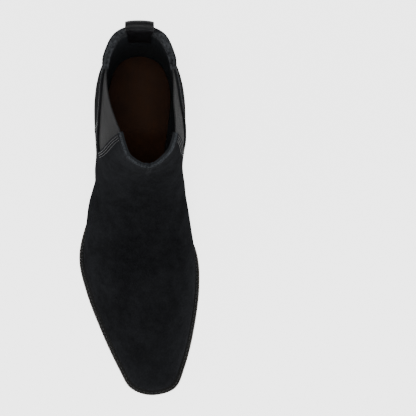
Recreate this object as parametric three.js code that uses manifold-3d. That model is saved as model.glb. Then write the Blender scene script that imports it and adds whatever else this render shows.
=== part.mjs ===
// A man's suede Chelsea boot for the right foot: a three-layer upper with elastic gores, lasted on a
// welted leather sole with a stacked heel. Millimetres, +Z up, toe towards -Y, big-toe side towards +X.
import * as THREE from "three";
import { mergeVertices } from "three/addons/utils/BufferGeometryUtils.js";
import Module from "manifold-3d";

const wasm = await Module();
wasm.setup();

// ---------------------------------------------------------------- driving sizes
const OUTSOLE_LENGTH = 302;
const BALL_WIDTH = 106.6; // over the sole edges
const SHAFT_RISE = 124.5; // from the heel seat to the top of the collar
const HEEL_HEIGHT = 26; // lifts and top piece
const TOE_SPRING = 8.5; // lift of the toe's underside above the ground

const SUEDE = 1.3;
const STIFFENER = 1.0; // toe puff, counter, backers and gores share this layer
const LINING = 0.8;
const OUTSOLE = 5;
const WELT = 3;
const INSOLE_BOARD = 2.2;
const HEEL_CUSHION = 2.4;
const SOCK = 1.2;
const TOP_PIECE = 6;
const LIFT_COUNT = 4;

const WELT_OVERHANG = 4.2; // sole edge beyond the upper, forepart
const HEEL_OVERHANG = 1.4; // sole edge beyond the upper, waist and heel
const WELT_TUCK = 8; // welt's width under the upper
const GAP = 0.3; // between touching pieces
const LAYER_GAP = 0.4; // between the upper's layers
const INSOLE_CLEARANCE = 2.4; // insole edge to lining

const GORE_TUCK = 6; // gore hidden under the suede round its window
const TAB_WIDTH = 22;
const TAB_LEATHER = 1.0;
const TAB_STAND = 10.5; // loop above the collar edge
const TAB_INNER_LEG = 33;
const TAB_OUTER_LEG = 38;

const TAB_PLAY = 0.9; // from the loop to the collar edge it swings over
const TAB_BULGE = 1.1; // the loop is this much wider on each side than the edge it straddles
const SHANK = { length: 104, width: 13, thick: 1.2, centreY: 48 };
const RIVET_RADIUS = 1.9;
const NAIL_RADIUS = 1.1;
const NAIL_STOP = 2; // nail points end this far above the top piece
const PIN_RADIUS = 0.9;
const PIN_BITE = 2.2; // pins reach this far past the top piece, into the lifts
const PIN_RECESS = 0.3; // pin ends above the tread of the top piece

const SECTIONS_PER_STATION = 2;
const RIB_STEPS = 7;
const OUTLINE_STEPS = 2; // points of a sole outline per station
const SLOPE_STEPS = 18; // chords along the sole's side view

// ---------------------------------------------------------------- lines of the boot
// Each station is one rib of the upper, from the sole edge to the topline or, past the throat, to the
// ridge of the vamp. They run from the back of the heel to the toe tip.
//   sole: plan points [x, y] of the sole edge, lateral and medial
//   top: [x, y] where the rib ends, lateral and medial; rise: its height above the sole's upper side
//   belly: how far the rib's lower handle stands out, lateral and medial; lift: its height
//   hang: the upper handle [outwards, back, up] from the top, lateral and medial, up to the throat
//   spread: [sideways, along the ridge] of the upper handle, past the throat
const THROAT = 6;
const STATIONS = [
  { sole: [[0, 152.5], [0, 152.5]], top: [[0, 155.5], [0, 155.5]], rise: 124.5, belly: [4, 4], lift: 38,
    hang: [[0, -8, -42], [0, -8, -42]] },
  { sole: [[-22, 143.5], [22, 143.5]], top: [[-17.5, 150.5], [17.5, 150.5]], rise: 122.8, belly: [5, 5], lift: 38,
    hang: [[-1, -8, -40], [-1, -8, -40]] },
  { sole: [[-32.5, 118], [32.5, 118]], top: [[-27.3, 126], [27.3, 126]], rise: 117.5, belly: [8, 8], lift: 37,
    hang: [[6.5, -5, -36], [6.5, -5, -36]] },
  { sole: [[-32, 88], [31, 88]], top: [[-25, 98], [28.3, 98]], rise: 117.5, belly: [14, 14.5], lift: 34,
    hang: [[12.5, -4, -33], [11, -4, -33]] },
  { sole: [[-30.4, 64], [27.8, 64]], top: [[-16.5, 74], [29.5, 74]], rise: 123, belly: [15.5, 16], lift: 31,
    hang: [[21.5, -6, -36.5], [12.5, -6, -36.5]] },
  { sole: [[-30.7, 47], [27.6, 47]], top: [[-9, 53], [23.6, 56.5]], rise: 124.5, belly: [21.5, 21], lift: 28,
    hang: [[32, -8, -36.5], [20, -8, -36.5]] },
  { sole: [[-32.6, 32], [28.7, 32]], top: [[8, 45.5], [8, 45.5]], rise: 125.7, belly: [26.5, 29.5], lift: 27,
    spread: [[40, 12], [32.5, 12]] },
  { sole: [[-43.5, 11], [34, 11]], top: [[8.8, 37.5], [8.8, 37.5]], rise: 94, belly: [21.5, 27], lift: 25,
    spread: [[40, 7], [31.5, 7]] },
  { sole: [[-53.3, -27], [50.5, -24]], top: [[9.6, 12], [9.6, 12]], rise: 72, belly: [10, 10], lift: 22,
    spread: [[31, 3], [29, 3]] },
  { sole: [[-47.5, -60], [53.3, -58]], top: [[10.2, -32], [10.2, -32]], rise: 53.5, belly: [5.5, 5.5], lift: 19,
    spread: [[29, 2], [29, 2]] },
  { sole: [[-32.6, -99.3], [48, -98]], top: [[10.6, -75], [10.6, -75]], rise: 41, belly: [5, 5], lift: 16.5,
    spread: [[22.5, 2], [24, 2]] },
  { sole: [[-17.4, -131.5], [40, -129]], top: [[10.7, -108], [10.7, -108]], rise: 28.8, belly: [4.5, 4.5],
    lift: 14.5, spread: [[14, 3], [16, 3]] },
  { sole: [[-7.5, -147], [31, -147.3]], top: [[10.7, -125], [10.7, -125]], rise: 20.8, belly: [4, 4], lift: 12,
    spread: [[7, 6], [7.5, 6]] },
  { sole: [[10.7, -153], [10.7, -153]], top: [[10.7, -132], [10.7, -132]], rise: 17, belly: [3, 3], lift: 10.5,
    spread: [[0, 10], [0, 10]] },
];
const LAST = STATIONS.length - 1;
const SIDES = { lateral: 0, medial: 1 };
const ROOT = 4; // the upper's layers start this far below the sole's upper side, and are cut off there
const REACH = 400; // longer than anything it cuts

// Scale from the sizes that the stations are drawn at.
const drawn = { length: 305.5, width: 106.6, rise: 124.5 };
const kx = BALL_WIDTH / drawn.width;
const ky = OUTSOLE_LENGTH / drawn.length;
const kz = SHAFT_RISE / drawn.rise;

// Side-view outlines [y, z above the heel seat], drawn at the same sizes.
const GORE_REAR = [[130, 126], [117, 109.5], [100, 98.5], [80.5, 79.5], [60.6, 57.5]];
const GORE_FRONT = [[60.6, 57.5], [61.8, 74], [65.3, 92], [72.5, 118], [75.5, 126]];
const SIDE_SEAM = [[79.5, 79], [77, 60], [76, 36], [77.5, 15], [79, -25]];
const COUNTER_TOP = [[78, 22], [100, 38], [125, 44], [160, 45]];
const PUFF_BACK_Y = -96;

const smooth = (a, b, x) => THREE.MathUtils.smoothstep(x, a, b);
const mix = THREE.MathUtils.lerp;

// ---------------------------------------------------------------- sole profile
const BREAST_Y = 84 * ky; // front of the heel
const BALL_BACK_Y = -8 * ky; // the tread is flat from here ...
const BALL_FRONT_Y = -52 * ky; // ... to here
const TOE_Y = -153 * ky;

// Height of the outsole's underside.
function underside(y) {
  const arch = HEEL_HEIGHT * smooth(BALL_BACK_Y, BREAST_Y, y);
  const forward = Math.max(0, (BALL_FRONT_Y - y) / (BALL_FRONT_Y - TOE_Y));
  return arch + TOE_SPRING * forward * forward;
}
const featherHeight = (y) => underside(y) + OUTSOLE + WELT + GAP;

// ---------------------------------------------------------------- curves through the stations
// Catmull-Rom value at t, where pick(i) gives the control value at a whole number.
function spline(pick, t, low, high) {
  const i = Math.min(Math.max(Math.floor(t), low), high - 1);
  const f = t - i;
  const [a, b, c, d] = [pick(i - 1), pick(i), pick(i + 1), pick(i + 2)];
  return b.map((_, k) => {
    const m0 = (c[k] - a[k]) / 2;
    const m1 = (d[k] - b[k]) / 2;
    const f2 = f * f;
    const f3 = f2 * f;
    const along = (2 * f3 - 3 * f2 + 1) * b[k] + (f3 - 2 * f2 + f) * m0;
    return along + (3 * f2 - 2 * f3) * c[k] + (f3 - f2) * m1;
  });
}

// A station and side, carried round the heel or the toe onto the other side.
function wrapped(i, side) {
  if (i < 0) return [-i, 1 - side];
  return i > LAST ? [2 * LAST - i, 1 - side] : [i, side];
}
const clamped = (i, low, high) => Math.min(Math.max(i, low), high);

const soleEdge = (side, s) => {
  const pick = (i) => {
    const [j, which] = wrapped(i, side);
    return STATIONS[j].sole[which];
  };
  const [x, y] = spline(pick, s, 0, LAST);
  return new THREE.Vector2(x * kx, y * ky);
};

function outwardNormal(side, s) {
  const step = 0.02;
  const a = s < step ? soleEdge(1 - side, step - s) : soleEdge(side, s - step);
  const b = s > LAST - step ? soleEdge(1 - side, 2 * LAST - s - step) : soleEdge(side, s + step);
  const along = b.sub(a).normalize();
  const turn = side === SIDES.lateral ? 1 : -1;
  return new THREE.Vector2(along.y * turn, -along.x * turn);
}

const insetEdge = (side, s, inset) => soleEdge(side, s).addScaledVector(outwardNormal(side, s), -inset);
const overhang = (s) => mix(HEEL_OVERHANG, WELT_OVERHANG, smooth(5, 7, s));

function topPoint(i, side) {
  const { sole, top, rise } = STATIONS[i];
  return [top[side][0] * kx, top[side][1] * ky, rise * kz + featherHeight(sole[0][1] * ky)];
}

// Near the throat both the topline and the ridge slow to a stop, so the surface turns the corner smoothly.
const slowed = (t) => (t < 1 ? t * t * (2 - t) : t);

function topline(side, s) {
  const pick = (i) => {
    if (i < 0) return topPoint(-i, 1 - side);
    return i > THROAT ? topPoint(2 * THROAT - i, 1 - side) : topPoint(i, side);
  };
  return new THREE.Vector3(...spline(pick, THROAT - slowed(THROAT - s), 0, THROAT));
}

function ridgeAt(t) {
  const pick = (i) => {
    if (i >= THROAT && i <= LAST) return topPoint(i, 0);
    const [end, next] = i < THROAT ? [THROAT, THROAT + 1] : [LAST, LAST - 1];
    return topPoint(end, 0).map((value, k) => 2 * value - topPoint(next, 0)[k]);
  };
  return new THREE.Vector3(...spline(pick, t, THROAT, LAST));
}
const ridge = (s) => ridgeAt(THROAT + slowed(s - THROAT));

function ridgeTangent(s) {
  const t = THROAT + slowed(s - THROAT);
  return ridgeAt(Math.min(t + 0.02, LAST)).sub(ridgeAt(Math.max(t - 0.02, THROAT))).normalize();
}

const outwards = (side) => (side === SIDES.lateral ? -1 : 1);

// The upper handle of a rib.
function upperHandle(side, s, top) {
  const pick = (i) => {
    const [j, which] = wrapped(i, side);
    const sign = outwards(which);
    const end = new THREE.Vector3(...topPoint(j, which));
    if (j < THROAT) {
      const [out, back, up] = STATIONS[j].hang[which];
      return end.add(new THREE.Vector3(sign * out * kx, back * ky, up * kz)).toArray();
    }
    const [sideways, along] = STATIONS[j].spread[which];
    end.x += sign * sideways * kx;
    return end.addScaledVector(ridgeTangent(j), along * ky).toArray();
  };
  const handle = new THREE.Vector3(...spline(pick, s, 0, LAST));
  if (s <= THROAT) return handle;
  // On the ridge the two sides meet without a crease: the handle stays in the ridge's tangent plane.
  const across = new THREE.Vector3(1, 0, 0).cross(ridgeTangent(s));
  return handle.addScaledVector(across, -handle.clone().sub(top).dot(across));
}

// One rib of the upper's outer surface, from just below the sole's upper side to the topline or the ridge.
function ribAt(side, s) {
  const edge = insetEdge(side, s, overhang(s));
  const pick = (i) => {
    const station = STATIONS[clamped(i, 0, LAST)];
    return [station.belly[side], station.lift];
  };
  const [belly, lift] = spline(pick, s, 0, LAST);
  const normal = outwardNormal(side, s);
  const stand = new THREE.Vector3(normal.x * belly * kx, normal.y * belly * kx, lift * kz);
  const foot = new THREE.Vector3(edge.x, edge.y, featherHeight(edge.y));
  foot.addScaledVector(stand, -ROOT / stand.length());
  const lower = foot.clone().add(stand);
  const top = s <= THROAT ? topline(side, s) : ridge(s);
  return new THREE.CubicBezierCurve3(foot, lower, upperHandle(side, s, top), top);
}

// ---------------------------------------------------------------- open sheets and closed solids
class Sheet {
  points = [];
  faces = [];
  index = new Map();

  add(point) {
    const key = point.toArray().map((value) => Math.round(value * 1e3)).join();
    if (!this.index.has(key)) {
      this.index.set(key, this.points.length);
      this.points.push(point);
    }
    return this.index.get(key);
  }

  // A grid of points; flip turns its faces over.
  grid(rows, flip) {
    const ids = rows.map((row) => row.map((point) => this.add(point)));
    for (let i = 0; i + 1 < ids.length; i++) {
      for (let j = 0; j + 1 < ids[i].length; j++) {
        const [a, b, c, d] = [ids[i][j], ids[i + 1][j], ids[i + 1][j + 1], ids[i][j + 1]];
        for (const face of [[a, b, c], [a, c, d]]) {
          if (new Set(face).size === 3) this.faces.push(flip ? face.reverse() : face);
        }
      }
    }
    return this;
  }

  normals() {
    const sums = this.points.map(() => new THREE.Vector3());
    for (const [a, b, c] of this.faces) {
      const ab = this.points[b].clone().sub(this.points[a]);
      const normal = ab.cross(this.points[c].clone().sub(this.points[a]));
      for (const i of [a, b, c]) sums[i].add(normal);
    }
    return sums.map((sum) => sum.normalize());
  }

  // Evens out the sheet: each inner point moves towards its neighbours' middle, by a share of the way.
  relax(passes, share) {
    const neighbours = this.points.map(() => new Set());
    for (const [a, b, c] of this.faces) {
      neighbours[a].add(b);
      neighbours[b].add(c);
      neighbours[c].add(a);
    }
    const links = neighbours.map((next) => new Set(next));
    const rim = new Set();
    neighbours.forEach((next, i) => {
      for (const j of next) {
        if (!neighbours[j].has(i)) rim.add(i).add(j);
        links[j].add(i);
      }
    });
    for (let pass = 0; pass < passes; pass++) {
      this.points = this.points.map((point, i) => {
        if (rim.has(i)) return point;
        const middle = new THREE.Vector3();
        for (const j of links[i]) middle.addScaledVector(this.points[j], 1 / links[i].size);
        return point.clone().lerp(middle, share(point));
      });
    }
    return this;
  }

  // The solid between two depths under the sheet, measured against its normals.
  solid(outer, inner) {
    const normals = this.normals();
    const count = this.points.length;
    const vertices = [outer, inner].flatMap((depth) =>
      this.points.map((point, i) => point.clone().addScaledVector(normals[i], -depth)),
    );
    const faces = [...this.faces, ...this.faces.map(([a, b, c]) => [c + count, b + count, a + count])];
    const edges = new Set(this.faces.flatMap(([a, b, c]) => [`${a},${b}`, `${b},${c}`, `${c},${a}`]));
    for (const edge of edges) {
      const [a, b] = edge.split(",").map(Number);
      if (!edges.has(`${b},${a}`)) faces.push([b, a, a + count], [b, a + count, b + count]);
    }
    return solidFrom(vertices, faces);
  }
}

function solidFrom(vertices, faces) {
  return new wasm.Manifold(
    new wasm.Mesh({
      numProp: 3,
      vertProperties: new Float32Array(vertices.flatMap((v) => v.toArray())),
      triVerts: new Uint32Array(faces.flat()),
    }),
  );
}

// A three.js geometry as a solid for cutting.
function solidOf(geometry) {
  const bare = new THREE.BufferGeometry().setAttribute("position", geometry.getAttribute("position"));
  if (geometry.index) bare.setIndex(geometry.index);
  const merged = mergeVertices(bare, 1e-4);
  return new wasm.Manifold(
    new wasm.Mesh({
      numProp: 3,
      vertProperties: merged.attributes.position.array,
      triVerts: new Uint32Array(merged.index.array),
    }),
  );
}

function geometryOf(solid) {
  const mesh = solid.getMesh();
  const position = new Float32Array(mesh.numVert * 3);
  for (let i = 0; i < mesh.numVert; i++) {
    position.set(mesh.vertProperties.subarray(i * mesh.numProp, i * mesh.numProp + 3), i * 3);
  }
  const geometry = new THREE.BufferGeometry();
  geometry.setAttribute("position", new THREE.BufferAttribute(position, 3));
  geometry.setIndex(new THREE.BufferAttribute(new Uint32Array(mesh.triVerts), 1));
  return geometry;
}

// ---------------------------------------------------------------- side-view and plan cutters
const steps = (from, to, count) => Array.from({ length: count + 1 }, (_, i) => mix(from, to, i / count));

// A prism across the boot whose side view is the outline [y, z].
function prism(outline, low = -REACH, high = REACH) {
  const shape = new THREE.Shape(outline.map(([y, z]) => new THREE.Vector2(y, z)));
  const geometry = new THREE.ExtrudeGeometry(shape, { depth: high - low, bevelEnabled: false });
  // Shape x and y become the boot's y and z, and the depth becomes x.
  const turn = new THREE.Matrix4().set(0, 0, 1, low, 1, 0, 0, 0, 0, 1, 0, 0, 0, 0, 0, 1);
  return solidOf(geometry.applyMatrix4(turn));
}

// An upright column whose plan is the outline [x, y].
function column(outline) {
  const shape = new THREE.Shape(outline.map(([x, y]) => new THREE.Vector2(x, y)));
  const geometry = new THREE.ExtrudeGeometry(shape, { depth: REACH, bevelEnabled: false });
  return solidOf(geometry.translate(0, 0, -REACH / 2));
}

// A box from one corner to the other.
function box([x0, y0, z0], [x1, y1, z1]) {
  const geometry = new THREE.BoxGeometry(x1 - x0, y1 - y0, z1 - z0);
  return solidOf(geometry.translate((x0 + x1) / 2, (y0 + y1) / 2, (z0 + z1) / 2));
}
const behind = (y) => box([-REACH, y, -REACH], [REACH, REACH, REACH]);
const before = (y) => box([-REACH, -REACH, -REACH], [REACH, y, REACH]);
const beside = (side, x) =>
  side === SIDES.lateral
    ? box([-REACH, -REACH, -REACH], [-x, REACH, REACH])
    : box([x, -REACH, -REACH], [REACH, REACH, REACH]);

// An upright pin from one height to another.
function pin([x, y], radius, low, high, sides = 12) {
  const geometry = new THREE.CylinderGeometry(radius, radius, high - low, sides);
  return solidOf(geometry.rotateX(Math.PI / 2).translate(x, y, (low + high) / 2));
}

// A side-view line at this boot's sizes, smoothed into short chords.
const SEAT = featherHeight(150 * ky);
function sideLine(points, count = 10) {
  const curve = new THREE.SplineCurve(points.map(([y, z]) => new THREE.Vector2(y * ky, z * kz + SEAT)));
  return curve.getPoints(count).map((p) => [p.x, p.y]);
}

// The line moved sideways by a distance, to the left of its direction.
function moved(line, distance) {
  return line.map(([y, z], i) => {
    const [y0, z0] = line[Math.max(i - 1, 0)];
    const [y1, z1] = line[Math.min(i + 1, line.length - 1)];
    const length = Math.hypot(y1 - y0, z1 - z0);
    return [y - ((z1 - z0) / length) * distance, z + ((y1 - y0) / length) * distance];
  });
}
const raised = ([y]) => [y, REACH];
const sunk = ([y]) => [y, -REACH];

// ---------------------------------------------------------------- the upper's regions
// The gore window, grown by a margin.
function goreWindow(margin) {
  const rear = moved(sideLine(GORE_REAR), margin);
  const front = moved(sideLine(GORE_FRONT), margin);
  const tip = [GORE_REAR.at(-1)[0] * ky, GORE_REAR.at(-1)[1] * kz + SEAT - margin];
  return prism([raised(rear[0]), ...rear.slice(0, -1), tip, ...front.slice(1), raised(front.at(-1))]);
}

// Everything behind the gore's rear edge and the side seam below it, moved back by a clearance.
function backRegion(clearance) {
  const seamTop = SIDE_SEAM[0][0] * ky;
  const rear = moved(sideLine(GORE_REAR), clearance).filter(([y]) => y > seamTop + clearance + 0.5);
  const seam = moved(sideLine(SIDE_SEAM), clearance);
  return prism([raised(rear[0]), ...rear, ...seam, sunk(seam.at(-1)), [REACH, -REACH], [REACH, REACH]]);
}

// Everything under the heel counter's top line, raised by a clearance.
function underCounter(clearance) {
  const line = moved(sideLine(COUNTER_TOP), clearance);
  return prism([sunk(line[0]), ...line, sunk(line.at(-1))]);
}

// ---------------------------------------------------------------- the upper's layers
// How much of the bend between shaft and instep a point has, from 0 to 1.
const frontOfAnkle = ({ y, z }) => smooth(48 * kz, 72 * kz, z) * (1 - smooth(50 * ky, 72 * ky, y)) * 0.6;

function upperSheet() {
  const sheet = new Sheet();
  for (const side of [SIDES.lateral, SIDES.medial]) {
    const rows = steps(0, LAST, LAST * SECTIONS_PER_STATION).map((s) => {
      const rib = ribAt(side, s);
      return steps(0, 1, RIB_STEPS).map((v) => rib.getPoint(v));
    });
    sheet.grid(rows, side === SIDES.medial);
  }
  return sheet.relax(5, frontOfAnkle);
}

// Depths of the layers' faces below the upper's outer surface.
const DEPTH = { stiffener: SUEDE + LAYER_GAP };
DEPTH.lining = DEPTH.stiffener + STIFFENER + LAYER_GAP;
DEPTH.inside = DEPTH.lining + LINING;

function layers() {
  const sheet = upperSheet();
  const onSole = slab(featherHeight, () => REACH);
  const layer = (outer, inner) => sheet.solid(outer, inner).intersect(onSole);
  return {
    suede: layer(0, SUEDE),
    stiffener: layer(DEPTH.stiffener, DEPTH.stiffener + STIFFENER),
    lining: layer(DEPTH.lining, DEPTH.inside),
    tabOutside: layer(-GAP - TAB_LEATHER, -GAP),
    tabInside: layer(DEPTH.inside + GAP, DEPTH.inside + GAP + TAB_LEATHER),
  };
}

function suedePanels({ suede }, window, back, front) {
  const open = suede.subtract(window);
  const quarters = open.intersect(back);
  return {
    vamp: open.subtract(front),
    quarter_lateral: quarters.intersect(beside(SIDES.lateral, GAP / 2)),
    quarter_medial: quarters.intersect(beside(SIDES.medial, GAP / 2)),
  };
}

function gores({ stiffener }) {
  const both = stiffener.intersect(goreWindow(GORE_TUCK));
  return {
    gore_lateral: both.intersect(beside(SIDES.lateral, 0)),
    gore_medial: both.intersect(beside(SIDES.medial, 0)),
  };
}

function stiffeners({ stiffener }, back, front) {
  const free = stiffener.subtract(goreWindow(GORE_TUCK + GAP));
  const rear = free.intersect(back);
  const fore = free.subtract(front);
  const puffBack = PUFF_BACK_Y * ky;
  return {
    heel_counter: rear.intersect(underCounter(0)),
    collar_reinforcement: rear.subtract(underCounter(GAP)),
    toe_puff: fore.intersect(before(puffBack)),
    vamp_interlining: fore.intersect(behind(puffBack + GAP)),
  };
}

function linings({ lining }, window, back, front) {
  const open = lining.subtract(window);
  return { vamp_lining: open.subtract(front), quarter_lining: open.intersect(back) };
}

// ---------------------------------------------------------------- pull tab
// The topline point over a given x at the back of the heel.
function toplineOver(x) {
  const side = x < 0 ? SIDES.lateral : SIDES.medial;
  let [low, high] = [0, 2];
  for (let i = 0; i < 30; i++) {
    const middle = (low + high) / 2;
    if (Math.abs(topline(side, middle).x) < Math.abs(x)) low = middle;
    else high = middle;
  }
  return topline(side, low);
}

// The loop over the collar: across the back seam, from the outer leg to the inner one.
function tabLoop() {
  const rib = ribAt(SIDES.medial, 0);
  const up = rib.getTangent(1).normalize();
  const out = new THREE.Vector3(0, up.z, -up.y);
  const outer = GAP + TAB_LEATHER / 2;
  const inner = -(DEPTH.inside + GAP + TAB_LEATHER / 2);
  const centre = (outer + inner) / 2;
  const half = (outer - inner) / 2;
  const wide = half + TAB_BULGE;
  const crown = TAB_STAND - TAB_LEATHER / 2;
  const arc = steps(0, Math.PI, 8).map((a) => [
    centre + Math.cos(a) * wide,
    crown - wide + Math.sin(a) * wide,
  ]);
  const section = [[outer, TAB_PLAY], ...arc, [inner, TAB_PLAY]];
  const rows = steps(-TAB_WIDTH / 2, TAB_WIDTH / 2, 4).map((x) => {
    const base = toplineOver(x);
    return section.map(([o, u]) => base.clone().addScaledVector(out, o).addScaledVector(up, u));
  });
  return new Sheet().grid(rows, false).solid(-TAB_LEATHER / 2, TAB_LEATHER / 2);
}

function pullTab({ tabOutside, tabInside }) {
  const top = topline(SIDES.medial, 0);
  const strip = (leg, low) =>
    leg.intersect(box([-TAB_WIDTH / 2, top.y - 45, low], [TAB_WIDTH / 2, REACH, REACH]));
  return {
    pull_tab: tabLoop(),
    pull_tab_outer_leg: strip(tabOutside, top.z - TAB_OUTER_LEG),
    pull_tab_inner_leg: strip(tabInside, top.z - TAB_INNER_LEG),
  };
}

// ---------------------------------------------------------------- sole and heel
// The sole's outline, set in by a distance that may change along it.
function outline(inset) {
  const at = typeof inset === "function" ? inset : () => inset;
  const half = (side) =>
    steps(0, LAST, LAST * OUTLINE_STEPS).map((s) => insetEdge(side, s, at(s)).toArray());
  return [...half(SIDES.medial), ...half(SIDES.lateral).reverse().slice(1, -1)];
}

// Everything between two heights that follow the sole's side view.
function slab(low, high) {
  const ys = [-REACH, ...steps(TOE_Y, BREAST_Y, SLOPE_STEPS), REACH];
  const bottom = ys.map((y) => [y, low(y)]);
  return prism([...bottom, ...ys.toReversed().map((y) => [y, high(y)])]);
}

const over = (height) => (y) => underside(y) + height;
const insideUpper = (extra) => (s) => overhang(s) + DEPTH.inside + INSOLE_CLEARANCE + extra;
const welted = (s) => overhang(s) + WELT_TUCK;

// Heights above the outsole's underside.
const TIER = { welt: OUTSOLE + GAP };
TIER.board = OUTSOLE + WELT + GAP;
TIER.sock = TIER.board + INSOLE_BOARD + GAP;

const WELT_BACK_Y = 74 * ky;
const CUSHION_FRONT_Y = BREAST_Y + 1;
const CUSHION_RAMP = 18; // the sock climbs over this length onto the cushion

// Pin places under the heel: a horseshoe of [x, y].
function horseshoe(inset) {
  const back = (153 * ky - inset);
  const across = 32 * kx - inset;
  return [[-across, BREAST_Y + 14], [-across * 0.86, back - 22], [0, back - 4], [across * 0.86, back - 22],
    [across, BREAST_Y + 14]];
}

function sole() {
  const edge = column(outline(0));
  const ring = edge.subtract(column(outline(welted)));
  const height = over(OUTSOLE + GAP);
  const strip = ring.intersect(slab(height, over(OUTSOLE + WELT)));
  return {
    outsole: edge.intersect(slab(over(0), over(OUTSOLE))),
    welt: strip.intersect(before(WELT_BACK_Y)),
    heel_rand: strip.intersect(behind(WELT_BACK_Y + GAP)),
    filler: column(outline((s) => welted(s) + GAP)).intersect(slab(height, over(OUTSOLE + WELT))),
  };
}

function footbed() {
  const board = column(outline(insideUpper(0)));
  const rise = (y) => (HEEL_CUSHION + GAP) * smooth(BREAST_Y - CUSHION_RAMP, BREAST_Y, y);
  const cushion = column(outline(insideUpper(4))).intersect(behind(CUSHION_FRONT_Y));
  const sock = slab(
    (y) => over(TIER.sock)(y) + rise(y),
    (y) => over(TIER.sock + SOCK)(y) + rise(y),
  );
  return {
    insole_board: board.intersect(slab(over(TIER.board), over(TIER.board + INSOLE_BOARD))),
    heel_cushion: cushion.intersect(slab(over(TIER.sock), over(TIER.sock + HEEL_CUSHION))),
    sock_liner: column(outline(insideUpper(0.6))).intersect(sock),
  };
}

// The stack of the heel, from the ground up, a little larger with each piece.
function heelStack() {
  const pieces = {};
  const each = (HEEL_HEIGHT - TOP_PIECE) / LIFT_COUNT;
  const piece = (level, low, high) =>
    column(outline(0.5 + 0.55 * level)).intersect(behind(BREAST_Y + 0.5 * level))
      .intersect(box([-REACH, -REACH, low], [REACH, REACH, high]));
  pieces.top_piece = piece(LIFT_COUNT, 0, TOP_PIECE - GAP);
  for (let i = 0; i < LIFT_COUNT; i++) {
    const low = TOP_PIECE + each * (LIFT_COUNT - 1 - i);
    pieces[`heel_lift_${i + 1}`] = piece(i, low, low + each - GAP);
  }
  return pieces;
}

function shank() {
  const { length, width, thick, centreY } = SHANK;
  const plan = (extra) => {
    const x = width / 2 + extra;
    const y = length / 2 + extra;
    return box([-x, centreY * ky - y, -REACH], [x, centreY * ky + y, REACH]);
  };
  const low = OUTSOLE + GAP;
  return {
    strip: plan(0).intersect(slab(over(low), over(low + thick))),
    slot: plan(GAP).intersect(slab(over(low - 1), over(low + thick + GAP))),
    rivets: [centreY * ky - length / 2 + 9, centreY * ky + length / 2 - 9],
  };
}

// ---------------------------------------------------------------- the whole boot
function boot() {
  const made = layers();
  const window = goreWindow(0);
  const [back, front] = [backRegion(GAP / 2), backRegion(-GAP / 2)];
  const bottom = sole();
  const bed = footbed();
  const stack = heelStack();
  const steel = shank();
  const parts = {
    ...suedePanels(made, window, back, front),
    ...gores(made),
    ...stiffeners(made, back, front),
    ...linings(made, window, back, front),
    ...pullTab(made),
    ...bed,
    shank: steel.strip,
    filler: bottom.filler.subtract(steel.slot),
    welt: bottom.welt,
    heel_rand: bottom.heel_rand,
    outsole: bottom.outsole,
    ...stack,
  };
  const drive = (name, place, radius, low, high, through) => {
    parts[name] = pin(place, radius, low, high);
    const hole = pin(place, radius + GAP, low - GAP, high + GAP);
    for (const piece of through) parts[piece] = parts[piece].subtract(hole);
  };
  steel.rivets.forEach((y, i) => {
    const low = underside(y + RIVET_RADIUS) + OUTSOLE + 2 * GAP;
    const high = underside(y - RIVET_RADIUS) + TIER.sock - GAP;
    drive(`shank_rivet_${i + 1}`, [0, y], RIVET_RADIUS, low, high, ["shank", "filler", "insole_board"]);
  });
  const lifts = Object.keys(stack).filter((name) => name !== "top_piece");
  horseshoe(11).forEach((place, i) => {
    const high = HEEL_HEIGHT + OUTSOLE;
    drive(`heel_nail_${i + 1}`, place, NAIL_RADIUS, TOP_PIECE + NAIL_STOP, high, ["outsole", ...lifts]);
  });
  horseshoe(6).forEach((place, i) => {
    const high = TOP_PIECE + PIN_BITE;
    drive(`top_piece_pin_${i + 1}`, place, PIN_RADIUS, PIN_RECESS, high, ["top_piece", ...lifts]);
  });
  return parts;
}

const paint = (color, roughness, metalness = 0) =>
  new THREE.MeshStandardMaterial({ color, roughness, metalness });
const SUEDE_BLACK = paint(0x17181a, 0.95);
const ELASTIC = paint(0x45464a, 0.9);
const SMOOTH_BLACK = paint(0x131316, 0.45);
const STIFF_CLOTH = paint(0x302f2d, 0.9);
const LINING_LEATHER = paint(0x2b2f35, 0.7);
const BROWN_LEATHER = paint(0x1d130c, 0.7);
const BOARD = paint(0x8f6d49, 0.85);
const FOAM = paint(0xc9b78f, 0.95);
const CORK = paint(0x9c7a50, 0.95);
const STEEL = paint(0x9a9ca0, 0.35, 1);
const BRASS = paint(0xb8934a, 0.35, 1);
const EDGE_LEATHER = paint(0x27211d, 0.5);
const RUBBER = paint(0x141414, 0.8);
const MATERIALS = [
  [/^vamp$|^quarter_(lateral|medial)$/, SUEDE_BLACK],
  [/^gore/, ELASTIC],
  [/^pull_tab/, SMOOTH_BLACK],
  [/puff|counter|interlining|reinforcement/, STIFF_CLOTH],
  [/_lining$/, LINING_LEATHER],
  [/^sock/, BROWN_LEATHER],
  [/board/, BOARD],
  [/cushion/, FOAM],
  [/filler/, CORK],
  [/^shank|nail/, STEEL],
  [/pin_/, BRASS],
  [/top_piece$/, RUBBER],
  [/./, EDGE_LEATHER],
];

// The pieces with the whole boot's footprint centred on the origin.
function centred(parts) {
  const group = new THREE.Group();
  for (const [name, solid] of Object.entries(parts)) {
    const mesh = new THREE.Mesh(geometryOf(solid), MATERIALS.find(([pattern]) => pattern.test(name))[1]);
    mesh.name = name;
    group.add(mesh);
  }
  const bounds = new THREE.Box3().setFromObject(group);
  const middle = bounds.getCenter(new THREE.Vector3());
  for (const mesh of group.children) mesh.geometry.translate(-middle.x, -middle.y, 0);
  return group;
}

export default centred(boot());
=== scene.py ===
"""A man's suede Chelsea boot for the right foot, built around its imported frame.

The toe points to -Y, the big-toe side to +X. Shapes are worked out in millimetres in the maker's own
frame, then moved onto the frame's boot in metres.
"""
import math
from collections import namedtuple

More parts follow.
